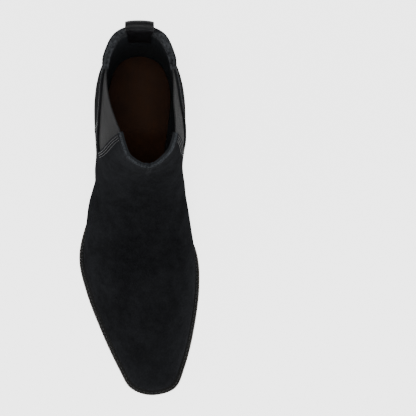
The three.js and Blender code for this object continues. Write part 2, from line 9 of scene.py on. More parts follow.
import bmesh
import bpy
import numpy as np
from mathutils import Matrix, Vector


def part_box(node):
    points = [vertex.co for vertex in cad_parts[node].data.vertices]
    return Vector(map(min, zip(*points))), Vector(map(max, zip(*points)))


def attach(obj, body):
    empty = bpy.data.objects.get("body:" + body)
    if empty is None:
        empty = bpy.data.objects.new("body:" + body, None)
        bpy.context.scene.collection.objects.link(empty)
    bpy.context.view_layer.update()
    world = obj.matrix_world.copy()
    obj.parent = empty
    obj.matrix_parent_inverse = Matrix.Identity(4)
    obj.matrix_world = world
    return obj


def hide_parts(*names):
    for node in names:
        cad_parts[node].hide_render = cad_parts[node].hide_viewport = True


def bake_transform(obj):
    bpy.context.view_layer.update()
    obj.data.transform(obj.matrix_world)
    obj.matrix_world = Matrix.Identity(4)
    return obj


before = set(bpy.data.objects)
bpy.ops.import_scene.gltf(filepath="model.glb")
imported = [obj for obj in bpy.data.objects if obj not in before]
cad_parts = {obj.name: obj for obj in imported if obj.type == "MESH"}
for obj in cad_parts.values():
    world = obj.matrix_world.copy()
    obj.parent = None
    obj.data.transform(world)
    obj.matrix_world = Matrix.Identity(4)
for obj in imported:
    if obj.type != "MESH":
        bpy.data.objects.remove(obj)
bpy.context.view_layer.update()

# ------------------------------------------------------------------ sizes, in millimetres
OUTSOLE_LENGTH = 302.0
DRAWN_LENGTH = 305.5  # the stations below are drawn at this length
KY = OUTSOLE_LENGTH / DRAWN_LENGTH
HEEL_HEIGHT = 26.0
TOE_SPRING = 8.5
SUEDE = 1.3
STIFFENER = 1.0
LINING = 0.8
LAYER_GAP = 0.4
OUTSOLE = 5.0
WELT = 3.0
INSOLE_BOARD = 2.2
HEEL_CUSHION = 2.4
SOCK = 1.2
TOP_PIECE = 6.0
LIFT_COUNT = 4
GAP = 0.3
WELT_OVERHANG = 4.2
HEEL_OVERHANG = 1.4
WELT_TUCK = 8.0
INSOLE_CLEARANCE = 2.4
ROOT = 4.0  # the ribs start this far below the sole's upper side
TAB_WIDTH = 22.0
TAB_LEATHER = 1.0
TAB_STAND = 10.5
TAB_INNER_LEG = 33.0
TAB_OUTER_LEG = 38.0
MIDDLE = SUEDE + LAYER_GAP  # depth of the stiffener layer's outer face
DEEP = MIDDLE + STIFFENER + LAYER_GAP  # depth of the lining's outer face
INSIDE = DEEP + LINING

BREAST_Y = 84 * KY
BALL_BACK_Y = -8 * KY
BALL_FRONT_Y = -52 * KY
TOE_Y = -153 * KY
WELT_BACK_Y = 74 * KY
LATERAL, MEDIAL = 0, 1
SECTIONS = 2  # lattice rows per station
RIB_STEPS = 7
THROAT = 6  # the station of the throat's middle
STEP = 0.02  # of a station, for slopes along the skin

# One rib per row, each pair lateral then medial: the sole's edge [x, y], the rib's end [x, y] and its rise,
# how far the lower handle stands out and up, and the upper handle.
Station = namedtuple("Station", "sole top rise belly lift handle")
STATIONS = [Station(*row) for row in (
    ([[0, 152.5], [0, 152.5]], [[0, 155.5], [0, 155.5]],
     124.5, (4, 4), 38, ([0, -8, -42], [0, -8, -42])),
    ([[-22, 143.5], [22, 143.5]], [[-17.5, 150.5], [17.5, 150.5]],
     122.8, (5, 5), 38, ([-1, -8, -40], [-1, -8, -40])),
    ([[-32.5, 118], [32.5, 118]], [[-27.3, 126], [27.3, 126]],
     117.5, (8, 8), 37, ([6.5, -5, -36], [6.5, -5, -36])),
    ([[-32, 88], [31, 88]], [[-25, 98], [28.3, 98]],
     117.5, (14, 14.5), 34, ([12.5, -4, -33], [11, -4, -33])),
    ([[-30.4, 64], [27.8, 64]], [[-16.5, 74], [29.5, 74]],
     123, (15.5, 16), 31, ([21.5, -6, -36.5], [12.5, -6, -36.5])),
    ([[-30.7, 47], [27.6, 47]], [[-9, 53], [23.6, 56.5]],
     124.5, (21.5, 21), 28, ([32, -8, -36.5], [20, -8, -36.5])),
    ([[-32.6, 32], [28.7, 32]], [[8, 45.5], [8, 45.5]],
     125.7, (26.5, 29.5), 27, ([40, 12], [32.5, 12])),
    ([[-43.5, 11], [34, 11]], [[8.8, 37.5], [8.8, 37.5]],
     94, (21.5, 27), 25, ([40, 7], [31.5, 7])),
    ([[-53.3, -27], [50.5, -24]], [[9.6, 12], [9.6, 12]],
     72, (10, 10), 22, ([31, 3], [29, 3])),
    ([[-47.5, -60], [53.3, -58]], [[10.2, -32], [10.2, -32]],
     53.5, (5.5, 5.5), 19, ([29, 2], [29, 2])),
    ([[-32.6, -99.3], [48, -98]], [[10.6, -75], [10.6, -75]],
     41, (5, 5), 16.5, ([22.5, 2], [24, 2])),
    ([[-17.4, -131.5], [40, -129]], [[10.7, -108], [10.7, -108]],
     28.8, (4.5, 4.5), 14.5, ([14, 3], [16, 3])),
    ([[-7.5, -147], [31, -147.3]], [[10.7, -125], [10.7, -125]],
     20.8, (4, 4), 12, ([7, 6], [7.5, 6])),
    ([[10.7, -153], [10.7, -153]], [[10.7, -132], [10.7, -132]],
     17, (3, 3), 10.5, ([0, 10], [0, 10])),
)]
LAST = len(STATIONS) - 1

# Side-view lines [y, height above the heel seat].
GORE_REAR = [[130, 126], [117, 109.5], [100, 98.5], [80.5, 79.5], [60.6, 57.5]]
GORE_FRONT = [[60.6, 57.5], [61.8, 74], [65.3, 92], [72.5, 118], [75.5, 126]]
SIDE_SEAM = [[79.5, 79], [77, 60], [76, 36], [77.5, 15], [79, -25]]
COUNTER_TOP = [[78, 22], [100, 38], [125, 44], [160, 45]]
PUFF_BACK_Y = -96 * KY


def smooth(a, b, x):
    t = np.clip((np.asarray(x, float) - a) / (b - a), 0, 1)
    return t * t * (3 - 2 * t)


def underside(y):
    arch = HEEL_HEIGHT * smooth(BALL_BACK_Y, BREAST_Y, y)
    forward = np.maximum(0, (BALL_FRONT_Y - np.asarray(y, float)) / (BALL_FRONT_Y - TOE_Y))
    return arch + TOE_SPRING * forward**2


def feather(y):
    return underside(y) + OUTSOLE + WELT + GAP


SEAT = float(feather(150 * KY))


def narrowed(low, high, below, halvings):
    """The two ends, drawn together round the place where below stops being true."""
    for _ in range(halvings):
        middle = (low + high) / 2
        under = below(middle)
        low, high = np.where(under, middle, low), np.where(under, high, middle)
    return low, high


# ------------------------------------------------------------------ ribs through the stations
def catmull(pick, t, low, high):
    i = min(max(math.floor(t), low), high - 1)
    f = t - i
    a, b, c, d = (np.asarray(pick(k), float) for k in (i - 1, i, i + 1, i + 2))
    m0, m1 = (c - a) / 2, (d - b) / 2
    return (
        (2 * f**3 - 3 * f**2 + 1) * b + (f**3 - 2 * f**2 + f) * m0
        + (3 * f**2 - 2 * f**3) * c + (f**3 - f**2) * m1
    )


def wrapped(i, side):
    if i < 0:
        return -i, 1 - side
    return (2 * LAST - i, 1 - side) if i > LAST else (i, side)


def sole_edge(side, s):
    def pick(i):
        j, which = wrapped(i, side)
        return STATIONS[j].sole[which]

    return catmull(pick, s, 0, LAST) * [1, KY]


def outward(side, s):
    a = sole_edge(1 - side, STEP - s) if s < STEP else sole_edge(side, s - STEP)
    b = sole_edge(1 - side, 2 * LAST - s - STEP) if s > LAST - STEP else sole_edge(side, s + STEP)
    x, y = (b - a) / np.linalg.norm(b - a)
    return np.array([y, -x]) if side == LATERAL else np.array([-y, x])


def inset_edge(side, s, inset):
    return sole_edge(side, s) - outward(side, s) * inset


def overhang(s):
    return HEEL_OVERHANG + (WELT_OVERHANG - HEEL_OVERHANG) * float(smooth(5, 7, s))


def top_point(i, side):
    station = STATIONS[i]
    x, y = station.top[side]
    return np.array([x, y * KY, station.rise + float(feather(station.sole[0][1] * KY))])


def slowed(t):
    return t * t * (2 - t) if t < 1 else t


def topline(side, s):
    def pick(i):
        if i < 0:
            return top_point(-i, 1 - side)
        return top_point(2 * THROAT - i, 1 - side) if i > THROAT else top_point(i, side)

    return catmull(pick, THROAT - slowed(THROAT - s), 0, THROAT)


def ridge_at(t):
    def pick(i):
        if THROAT <= i <= LAST:
            return top_point(i, 0)
        end, near = (THROAT, THROAT + 1) if i < THROAT else (LAST, LAST - 1)
        return 2 * top_point(end, 0) - top_point(near, 0)

    return catmull(pick, t, THROAT, LAST)


def ridge_tangent(s):
    t = THROAT + slowed(s - THROAT)
    along = ridge_at(min(t + STEP, LAST)) - ridge_at(max(t - STEP, THROAT))
    return along / np.linalg.norm(along)


def upper_handle(side, s, top):
    def pick(i):
        j, which = wrapped(i, side)
        sign = -1 if which == LATERAL else 1
        end = top_point(j, which)
        handle = STATIONS[j].handle[which]
        if j < THROAT:
            return end + [sign * handle[0], handle[1] * KY, handle[2]]
        return end + [sign * handle[0], 0, 0] + ridge_tangent(j) * handle[1] * KY

    handle = catmull(pick, s, 0, LAST)
    if s <= THROAT:
        return handle
    across = np.cross([1, 0, 0], ridge_tangent(s))
    return handle - across * np.dot(handle - top, across)


def rib_points(side, s):
    def pick(i):
        station = STATIONS[min(max(i, 0), LAST)]
        return [station.belly[side], station.lift]

    belly, lift = catmull(pick, s, 0, LAST)
    edge = inset_edge(side, s, overhang(s))
    stand = np.array([*(outward(side, s) * belly), lift])
    foot = np.array([*edge, float(feather(edge[1]))]) - stand * ROOT / np.linalg.norm(stand)
    top = topline(side, s) if s <= THROAT else ridge_at(THROAT + slowed(s - THROAT))
    handles = [foot, foot + stand, upper_handle(side, s, top), top]
    v = np.linspace(0, 1, RIB_STEPS + 1)[:, None]
    weights = [(1 - v) ** 3, 3 * v * (1 - v) ** 2, 3 * v**2 * (1 - v), v**3]
    return sum(w * h for w, h in zip(weights, handles))


RELAX_PASSES, RELAX_SHARE = 5, 0.6
RELAX_FROM_Z, RELAX_TO_Z = 48, 72
RELAX_FROM_Y, RELAX_TO_Y = 50 * KY, 72 * KY


def relaxed_lattice():
    """Both sides' ribs as one net, evened out over the bend between shaft and instep."""
    count = LAST * SECTIONS + 1
    net = np.array([[rib_points(side, i / SECTIONS) for i in range(count)] for side in (LATERAL, MEDIAL)])
    flat = net.reshape(-1, 3)
    found, keys = {}, []
    for point in flat:
        keys.append(found.setdefault(tuple(np.round(point * 1e3).astype(int)), len(found)))
    ids = np.array(keys).reshape(2, count, RIB_STEPS + 1)
    points = np.zeros((len(found), 3))
    points[ids.reshape(-1)] = flat
    links, directed = [set() for _ in points], set()
    for side in (LATERAL, MEDIAL):
        for i in range(count - 1):
            for j in range(RIB_STEPS):
                a, b = ids[side, i, j], ids[side, i + 1, j]
                c, d = ids[side, i + 1, j + 1], ids[side, i, j + 1]
                for face in ((a, b, c), (a, c, d)):
                    if len(set(face)) < 3:
                        continue
                    for p, q in zip(face, face[1:] + face[:1]):
                        links[p].add(q)
                        links[q].add(p)
                        directed.add((p, q) if side == LATERAL else (q, p))
    rim = {end for link in directed if link[::-1] not in directed for end in link}
    for _ in range(RELAX_PASSES):
        high_up = smooth(RELAX_FROM_Z, RELAX_TO_Z, points[:, 2])
        share = high_up * (1 - smooth(RELAX_FROM_Y, RELAX_TO_Y, points[:, 1])) * RELAX_SHARE
        middle = np.array([points[sorted(near)].mean(axis=0) for near in links])
        share[sorted(rim)] = 0
        points = points + (middle - points) * share[:, None]
    return points[ids]


def padded_net(net):
    """The net with two more rows and columns all round, so that it can be read past its edges."""
    count, columns = net.shape[1:3]
    throat_row = THROAT * SECTIONS
    wide = np.zeros((2, count + 4, columns + 4, 3))
    for side in (LATERAL, MEDIAL):
        own, other = net[side], net[1 - side]
        core = np.zeros((count, columns + 4, 3))
        core[:, 2:-2] = own
        core[:, 1] = 2 * own[:, 0] - own[:, 1]
        core[:, 0] = 2 * core[:, 1] - own[:, 0]
        core[:, -2] = 2 * own[:, -1] - own[:, -2]
        core[:, -1] = 2 * core[:, -2] - own[:, -1]
        core[throat_row:, -2] = other[throat_row:, -2]
        core[throat_row:, -1] = other[throat_row:, -3]
        wide[side, 2:-2] = core
    for side in (LATERAL, MEDIAL):
        other = wide[1 - side]
        wide[side, 1], wide[side, 0] = other[3], other[4]
        wide[side, -2], wide[side, -1] = other[-4], other[-5]
    return wide


NET = padded_net(relaxed_lattice())


def basis(f):
    return np.stack([
        -0.5 * f**3 + f**2 - 0.5 * f, 1.5 * f**3 - 2.5 * f**2 + 1,
        -1.5 * f**3 + 2 * f**2 + 0.5 * f, 0.5 * f**3 - 0.5 * f**2,
    ])


def skin(side, s, v):
    """Points of the upper's outer face: s runs from the heel's back to the toe, v from sole to top."""
    s, v = np.broadcast_arrays(np.asarray(s, float), np.asarray(v, float))
    a, b = s * SECTIONS + 2, v * RIB_STEPS + 2
    i = np.clip(np.floor(a).astype(int), 1, NET.shape[1] - 3)
    j = np.clip(np.floor(b).astype(int), 1, NET.shape[2] - 3)
    across, up = basis(a - i), basis(b - j)
    out = np.zeros(s.shape + (3,))
    for p in range(4):
        for q in range(4):
            out += (across[p] * up[q])[..., None] * NET[side][i + p - 1, j + q - 1]
    return out


def unit(vectors):
    return vectors / np.linalg.norm(vectors, axis=-1, keepdims=True)


def side_normal(side, s, v):
    along = skin(side, s + STEP, v) - skin(side, s - STEP, v)
    up = skin(side, s, v + STEP) - skin(side, s, v - STEP)
    return unit(np.cross(along, up) * (1 if side == LATERAL else -1))


TOE_MEETING = 0.15  # of a station, where the two sides come together at the toe


def skin_normal(side, s, v):
    """Outward normals; where the two sides meet on the boot's middle line they share one."""
    s, v = np.broadcast_arrays(np.asarray(s, float), np.asarray(v, float))
    short = np.minimum(s, LAST - TOE_MEETING * smooth(0.85, 1.0, v))
    own, other = side_normal(side, short, v), side_normal(1 - side, short, v)
    ridge = smooth(0.9, 1.0, v) * smooth(THROAT - 0.5, THROAT, s)
    share = np.maximum(ridge, smooth(LAST - TOE_MEETING, LAST, s))[..., None]
    return unit(own * (1 - share) + unit(own + other) * share)


# ------------------------------------------------------------------ side-view lines on the skin
GORE_REACH = 8.0  # every side-view line crosses the skin behind this station


def drawn_line(points, count):
    """That many points of a smooth line through the side view's [y, height] points."""
    raw = np.array(points, float) * [KY, 1] + [0, SEAT]
    last = len(raw) - 1

    def pick(i):
        return raw[min(max(i, 0), last)]

    return np.array([catmull(pick, t, 0, last) for t in np.linspace(0, last, count)])


class SideLine:
    """A smooth line in the side view, read as y at a height, and moved back or forward by a margin."""

    def __init__(self, points):
        line = drawn_line(points, 41)
        self.y, self.z = line[np.argsort(line[:, 1])].T
        self.shift = 0.0

    def moved(self, shift):
        copy = object.__new__(SideLine)
        copy.y, copy.z, copy.shift = self.y, self.z, self.shift + shift
        return copy

    def at(self, z):
        slope_low = (self.y[1] - self.y[0]) / (self.z[1] - self.z[0])
        slope_high = (self.y[-1] - self.y[-2]) / (self.z[-1] - self.z[-2])
        y = np.interp(z, self.z, self.y)
        y = y + slope_low * np.minimum(z - self.z[0], 0) + slope_high * np.maximum(z - self.z[-1], 0)
        slope = np.interp(z, (self.z[1:] + self.z[:-1]) / 2, np.diff(self.y) / np.diff(self.z))
        return y + self.shift * np.sqrt(1 + slope**2)

    def s_at(self, side, v):
        """Where the line crosses each height v of the skin."""
        v = np.atleast_1d(np.asarray(v, float))

        def behind(s):
            point = skin(side, s, v)
            return point[..., 1] > self.at(point[..., 2])

        low, high = narrowed(np.zeros(v.shape), np.full(v.shape, GORE_REACH), behind, 34)
        return (low + high) / 2

    def v_at_height(self, side, z):
        """The height v at which the line reaches z."""
        low, high = narrowed(0.0, 1.0, lambda v: skin(side, self.s_at(side, v)[0], v)[2] < z, 34)
        return (low + high) / 2


REAR, FRONT, SEAM = SideLine(GORE_REAR), SideLine(GORE_FRONT), SideLine(SIDE_SEAM)
TIP_Z = GORE_REAR[-1][1] + SEAT
JOIN_Z = SIDE_SEAM[0][1] + SEAT


def crossing_y(side, y, v):
    """Where each height v of the skin crosses a given y."""
    start, end = np.zeros(np.shape(v)), np.full(np.shape(v), float(LAST))
    low, high = narrowed(start, end, lambda s: skin(side, s, v)[..., 1] > y, 40)
    return (low + high) / 2


def rows(low, high, count, ends=0.0):
    """Steps from low to high, drawn together at both ends by a share."""
    t = np.linspace(0, 1, count + 1)
    t = t - ends * np.sin(2 * np.pi * t) / (2 * np.pi)
    return low + (high - low) * t


def net_between(side, left, right, v, count):
    """A net whose rows run, at each v, from s = left to s = right."""
    s = left[:, None] + (right - left)[:, None] * rows(0, 1, count)[None, :]
    return side, s, np.repeat(v[:, None], count + 1, axis=1)


# ------------------------------------------------------------------ from nets to objects
SHIFT = Vector((0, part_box("outsole")[0][1] - TOE_Y / 1000, 0))
WELD_CELLS = 200  # to a millimetre
collection = bpy.context.scene.collection


def placed(points):
    """Maker's millimetres to the frame's metres."""
    return np.asarray(points, float) / 1000 + np.array(SHIFT)


def new_object(name, vertices, faces, material):
    mesh = bpy.data.meshes.new(name)
    mesh.from_pydata([tuple(p) for p in placed(vertices)], [], faces)
    mesh.update()
    mesh.materials.append(material)
    obj = bpy.data.objects.new(name, mesh)
    collection.objects.link(obj)
    mesh.shade_smooth()
    return obj


def weld(obj, distance):
    work = bmesh.new()
    work.from_mesh(obj.data)
    bmesh.ops.remove_doubles(work, verts=work.verts, dist=distance)
    bmesh.ops.dissolve_degenerate(work, edges=work.edges, dist=distance)
    work.to_mesh(obj.data)
    work.free()


def soften(obj, width, segments=2, angle=50):
    """Round, that wide, the edges that turn by more than the angle."""
    bevel = obj.modifiers.new("Bevel", "BEVEL")
    bevel.width, bevel.segments = width / 1000, segments
    bevel.limit_method, bevel.angle_limit = "ANGLE", math.radians(angle)


def travelled(grid, axis):
    """How far along an axis of a grid of points each point lies."""
    return np.insert(np.linalg.norm(np.diff(grid, axis=axis), axis=2).cumsum(axis=axis), 0, 0, axis=axis)


def metric_places(grid):
    """Each point's place in metres along and up its grid."""
    return np.stack([travelled(grid, 1), travelled(grid, 0)], axis=-1).reshape(-1, 2) / 1000


def lay_out(obj, places):
    """Give the piece its own coordinates, one pair per vertex, for its finish."""
    layer = obj.data.uv_layers.new(name="metric")
    loops = np.zeros(len(obj.data.loops), dtype=int)
    obj.data.loops.foreach_get("vertex_index", loops)
    layer.data.foreach_set("uv", places[loops].reshape(-1))


FOOT_DIP = 0.1  # how far the upper's foot goes into the welt
FOOT_REACH_V = 0.35  # the foot is always under this height


def foot_v(side, s):
    """The height v at which the skin comes out of the welt."""
    def under(v):
        point = skin(side, s, v)
        return point[..., 2] < feather(point[..., 1]) - FOOT_DIP

    return narrowed(np.zeros(np.shape(s)), np.full(np.shape(s), FOOT_REACH_V), under, 16)[1]


def as_depth(depth, v):
    """A depth given as a number, or as a function of the height v."""
    return depth(v)[..., None] if callable(depth) else depth


def joined(faces, keys):
    """The faces on welded points, without those that shrink to a line."""
    for face in faces:
        ring = tuple(dict.fromkeys(int(k) for k in keys[list(face)]))
        if len(ring) > 2:
            yield ring


def panel(name, nets, outer, inner, material, edge, lift=None, zones=(), roll=None):
    """A leather panel between two depths under the skin, from nets of (side, s, v).

    zones lists (material, test), where test(face centre s, v, is_inside, is_wall) says which faces take it.
    lift moves the whole thickness off the skin, and roll thickens it outward.
    """
    tops, bottoms, metric, spots, faces = [], [], [], [], []
    start = 0
    for side, s, v in nets:
        s, v = np.broadcast_arrays(s, v)
        v = np.maximum(v, foot_v(side, s))
        base, normal = skin(side, s, v), skin_normal(side, s, v)
        raised = lift(side, s, v, base)[..., None] if lift else 0
        thicker = roll(side, s, v)[..., None] if roll else 0
        tops.append((base - normal * (as_depth(outer, v) - raised - thicker)).reshape(-1, 3))
        bottoms.append((base - normal * (as_depth(inner, v) - raised)).reshape(-1, 3))
        metric.append(metric_places(base))
        spots.append(np.stack([s, v], axis=-1).reshape(-1, 2))
        columns = s.shape[1]
        for i in range(s.shape[0] - 1):
            for j in range(columns - 1):
                a = start + i * columns + j
                quad = (a, a + 1, a + columns + 1, a + columns)
                faces.append(quad if side == LATERAL else quad[::-1])
        start += s.size
    top, bottom, metric, spots = (np.concatenate(part) for part in (tops, bottoms, metric, spots))
    # Points that the nets share become one.
    found, cells = {}, np.round(top * WELD_CELLS).astype(int)
    keys = np.array([found.setdefault(tuple(cell), len(found)) for cell in cells])
    first = np.unique(keys, return_index=True)[1]
    count = len(first)
    outside = list(joined(faces, keys))
    edges = {edge for face in outside for edge in zip(face, face[1:] + face[:1])}
    inside = [tuple(k + count for k in reversed(face)) for face in outside]
    walls = [(b, a, a + count, b + count) for a, b in sorted(edges) if (b, a) not in edges]
    obj = new_object(name, np.concatenate([top[first], bottom[first]]), outside + inside + walls, material)
    lay_out(obj, np.tile(metric[first], (2, 1)))
    spots, shell = spots[first], len(outside)
    for index, (zone, test) in enumerate(zones, 1):
        obj.data.materials.append(zone)
        for k, polygon in enumerate(obj.data.polygons):
            s_mid, v_mid = spots[[i % count for i in polygon.vertices]].mean(axis=0)
            if test(s_mid, v_mid, shell <= k < 2 * shell, k >= 2 * shell):
                polygon.material_index = index
    if edge:
        soften(obj, edge)
    return obj


# ------------------------------------------------------------------ shader nodes
def dye(red, green, blue):
    """A colour given as red, green and blue of a display, 0 to 255, for a socket."""
    def linear(c):
        c /= 255
        return c / 12.92 if c <= 0.04045 else ((c + 0.055) / 1.055) ** 2.4

    return (linear(red), linear(green), linear(blue), 1.0)


class Reading:
    """A number that varies over a surface; arithmetic on it adds Math nodes."""

    def __init__(self, finish, socket):
        self.finish, self.socket = finish, socket

    def _math(self, operation, *values):
        node = self.finish.node("Math", {"operation": operation}, dict(enumerate(values)))
        return Reading(self.finish, node.outputs[0])

    def __add__(self, other):
        return self._math("ADD", self, other)

    def __sub__(self, other):
        return self._math("SUBTRACT", self, other)

    def __rsub__(self, other):
        return self._math("SUBTRACT", other, self)

    def __mul__(self, other):
        return self._math("MULTIPLY", self, other)

    def __pow__(self, other):
        return self._math("POWER", self, other)

    __radd__, __rmul__ = __add__, __mul__

    def wave(self):
        return self._math("SINE", self) * 0.5 + 0.5

    def ramp(self, low, high):
        """0 below low, 1 above high, smooth between."""
        settings = {"interpolation_type": "SMOOTHSTEP", "clamp": True}
        sockets = {"Value": self, "From Min": low, "From Max": high}
        node = self.finish.node("MapRange", settings, sockets)
        return Reading(self.finish, node.outputs["Result"])


class Finish:
    """A material built node by node."""

    def __init__(self, name, **constants):
        self.material = bpy.data.materials.new(name)
        self.material.use_nodes = True
        self.tree = self.material.node_tree
        self.tree.nodes.clear()
        self.shader = self.node("BsdfPrincipled", {}, constants)
        out = self.node("OutputMaterial")
        self.tree.links.new(self.shader.outputs[0], out.inputs[0])
        self.made = {}

    def node(self, kind, settings=None, sockets=None):
        node = self.tree.nodes.new("ShaderNode" + kind)
        for key, value in (settings or {}).items():
            setattr(node, key, value)
        for key, value in (sockets or {}).items():
            self.feed(node.inputs[key], value)
        return node

    def feed(self, socket, value):
        if isinstance(value, Reading):
            value = value.socket
        if isinstance(value, bpy.types.NodeSocket):
            self.tree.links.new(value, socket)
        else:
            socket.default_value = value

    def set(self, **sockets):
        for key, value in sockets.items():
            self.feed(self.shader.inputs[key.replace("_", " ")], value)
        return self

    def place(self):
        if "place" not in self.made:
            self.made["place"] = self.node("TexCoord").outputs["Object"]
        return self.made["place"]

    def cloth(self):
        """The panel's own coordinates, in metres along and up it."""
        if "cloth" not in self.made:
            self.made["cloth"] = self.node("UVMap", {"uv_map": "metric"}).outputs[0]
        return self.made["cloth"]

    def part(self, vector, axis):
        node = self.node("SeparateXYZ", {}, {0: vector})
        return Reading(self, node.outputs[axis])

    def stretched(self, vector, scale):
        return self.node("Mapping", {}, {"Vector": vector, "Scale": scale}).outputs[0]

    def noise(self, scale, detail, roughness, vector=None):
        sockets = {"Vector": vector or self.place(), "Scale": scale,
                   "Detail": detail, "Roughness": roughness}
        return Reading(self, self.node("TexNoise", {}, sockets).outputs[0])

    def cells(self, scale):
        """The distance to the nearest border of a leather-like grain."""
        sockets = {"Vector": self.place(), "Scale": scale}
        node = self.node("TexVoronoi", {"feature": "DISTANCE_TO_EDGE"}, sockets)
        return Reading(self, node.outputs["Distance"])

    def blend(self, share, first, second):
        node = self.node("Mix", {"data_type": "RGBA"}, {0: share})
        self.feed(node.inputs[6], first)
        self.feed(node.inputs[7], second)
        return node.outputs[2]

    def relief(self, height, depth, strength):
        """Bump from a height between 0 and 1, that deep in millimetres."""
        node = self.node("Bump", {}, {"Strength": strength, "Distance": depth / 1000, "Height": height})
        return self.set(Normal=node.outputs[0])

    def edge_wear(self, amount):
        """1 on sharp outer edges, 0 elsewhere."""
        node = self.node("NewGeometry")
        return Reading(self, node.outputs["Pointiness"]).ramp(0.5, 0.5 + amount)


# ------------------------------------------------------------------ finishes
def suede():
    f = Finish("black_suede", Roughness=0.95, **{"Specular IOR Level": 0.0, "Sheen Weight": 0.006,
               "Sheen Roughness": 0.5, "Sheen Tint": dye(200, 202, 205)})
    brushed = f.noise(24, 4, 0.6)
    mottle = f.noise(150, 3, 0.6)
    nap = f.noise(850, 4, 0.7)
    fibre = f.noise(2600, 2, 0.6, f.stretched(f.place(), (1, 0.35, 0.6)))
    shade = brushed.ramp(0.34, 0.68) * 0.35 + mottle.ramp(0.3, 0.75) * 0.25 + nap.ramp(0.3, 0.75) * 0.4
    base = f.blend(shade, dye(13, 13, 14), dye(32, 33, 35))
    worn = f.edge_wear(0.05) * nap.ramp(0.35, 0.6)
    f.set(Base_Color=f.blend(worn * 0.35, base, dye(44, 45, 47)), Roughness=0.84 + shade * 0.14)
    return f.relief(nap * 0.55 + fibre * 0.3 + mottle * 0.15, 0.28, 0.8).material


def suede_rim(name, low, high, coarse):
    """The cut, brushed edge of the suede; coarse is how many tufts there are to a metre."""
    f = Finish(name, Roughness=0.95, **{"Specular IOR Level": 0.05, "Sheen Weight": 0.08,
               "Sheen Roughness": 0.45, "Sheen Tint": dye(200, 204, 208)})
    nap = f.noise(coarse, 4, 0.75)
    patches = f.noise(140, 3, 0.6)
    shade = nap.ramp(0.36, 0.64) * 0.7 + patches.ramp(0.3, 0.7) * 0.3
    f.set(Base_Color=f.blend(shade, dye(*low), dye(*high)))
    return f.relief(nap, 0.4, 0.9).material


RIB_PITCH, PICK_PITCH = 0.00125, 0.00062  # of the elastic's weave, in metres


def elastic(dark, light):
    f = Finish("gore_elastic", Roughness=0.85, **{"Specular IOR Level": 0.02, "Sheen Weight": 0.01,
               "Sheen Roughness": 0.5, "Sheen Tint": dye(200, 200, 204)})
    along, up = f.part(f.cloth(), 0), f.part(f.cloth(), 1)
    rib = (along * (2 * math.pi / RIB_PITCH)).wave()
    pick = (up * (2 * math.pi / PICK_PITCH)).wave()
    thread = rib ** 0.6 * 0.75 + pick * 0.25
    fuzz = f.noise(1500, 3, 0.7)
    shade = thread * 0.7 + fuzz * 0.3
    f.set(Base_Color=f.blend(shade, dye(*dark), dye(*light)), Roughness=0.75 + fuzz * 0.2)
    return f.relief(thread, 0.35, 0.9).material


def lining_leather():
    f = Finish("lining_leather", Roughness=0.7, **{"Specular IOR Level": 0.15, "Sheen Weight": 0.03,
               "Sheen Tint": dye(160, 168, 176)})
    grain = f.cells(900)
    broad = f.noise(60, 4, 0.6)
    fine = f.noise(1400, 3, 0.6)
    base = f.blend(broad.ramp(0.3, 0.7) * 0.6 + fine * 0.4, dye(15, 17, 19), dye(34, 37, 41))
    f.set(Base_Color=base, Roughness=0.55 + broad * 0.3)
    return f.relief(grain.ramp(0, 0.25) * 0.6 + fine * 0.4, 0.12, 0.6).material


def tab_leather():
    f = Finish("tab_leather", Roughness=0.42, **{"Specular IOR Level": 0.16, "Coat Roughness": 0.35})
    grain = f.cells(1500)
    pores = f.noise(2400, 2, 0.5)
    broad = f.noise(120, 3, 0.5)
    f.set(Base_Color=f.blend(broad.ramp(0.3, 0.7), dye(11, 11, 13), dye(23, 23, 26)),
          Roughness=0.36 + broad * 0.16 + pores * 0.08, Coat_Weight=broad.ramp(0.2, 0.8) * 0.05)
    return f.relief(grain.ramp(0, 0.2) * 0.7 + pores * 0.3, 0.08, 0.5).material


def sock_leather():
    f = Finish("sock_leather", Roughness=0.6, **{"Specular IOR Level": 0.06})
    grain = f.cells(1100)
    broad = f.noise(34, 4, 0.6)
    scuff = f.noise(220, 4, 0.65, f.stretched(f.place(), (1, 0.25, 1)))
    # Painted shade: toward its heel end the sock lining is blended darker, as shade under the back of the
    # shaft.
    up = f.part(f.place(), 1).ramp(0.02, 0.13)
    shade = broad.ramp(0.3, 0.7) * 0.6 + scuff.ramp(0.45, 0.75) * 0.4
    base = f.blend(shade, dye(34, 17, 7), dye(54, 31, 15))
    f.set(Base_Color=f.blend(up * 0.35, base, dye(27, 15, 9)), Roughness=0.48 + scuff * 0.25)
    return f.relief(grain.ramp(0, 0.22) * 0.7 + scuff * 0.3, 0.1, 0.6).material


def sole_leather(name, low, high, wear, gloss, shine):
    """Dyed, burnished sole leather: faint layers along the edge and small scuffs."""
    f = Finish(name, Roughness=gloss, **{"Specular IOR Level": shine, "Coat Roughness": 0.35})
    layers = f.noise(40, 3, 0.5, f.stretched(f.place(), (1, 1, 22)))
    scuff = f.noise(420, 4, 0.65)
    broad = f.noise(50, 3, 0.5)
    shade = layers.ramp(0.35, 0.7) * 0.55 + scuff.ramp(0.3, 0.8) * 0.1 + broad * 0.35
    base = f.blend(shade, dye(*low), dye(*high))
    worn = f.edge_wear(0.1) * broad.ramp(0.3, 0.7)
    f.set(Base_Color=f.blend(worn * 0.3, base, dye(*wear)), Roughness=gloss - 0.06 + scuff * 0.15,
          Coat_Weight=broad * shine * 0.6)
    return f.relief(scuff * 0.4 + layers * 0.6, 0.05, 0.4).material


def tread_leather():
    f = Finish("tread_leather", Roughness=0.6, **{"Specular IOR Level": 0.35})
    fibre = f.noise(300, 4, 0.65, f.stretched(f.place(), (1, 0.3, 1)))
    broad = f.noise(22, 4, 0.6)
    base = f.blend(broad.ramp(0.3, 0.7) * 0.6 + fibre * 0.4, dye(24, 21, 19), dye(46, 40, 35))
    f.set(Base_Color=base, Roughness=0.5 + fibre * 0.25)
    return f.relief(fibre, 0.12, 0.6).material


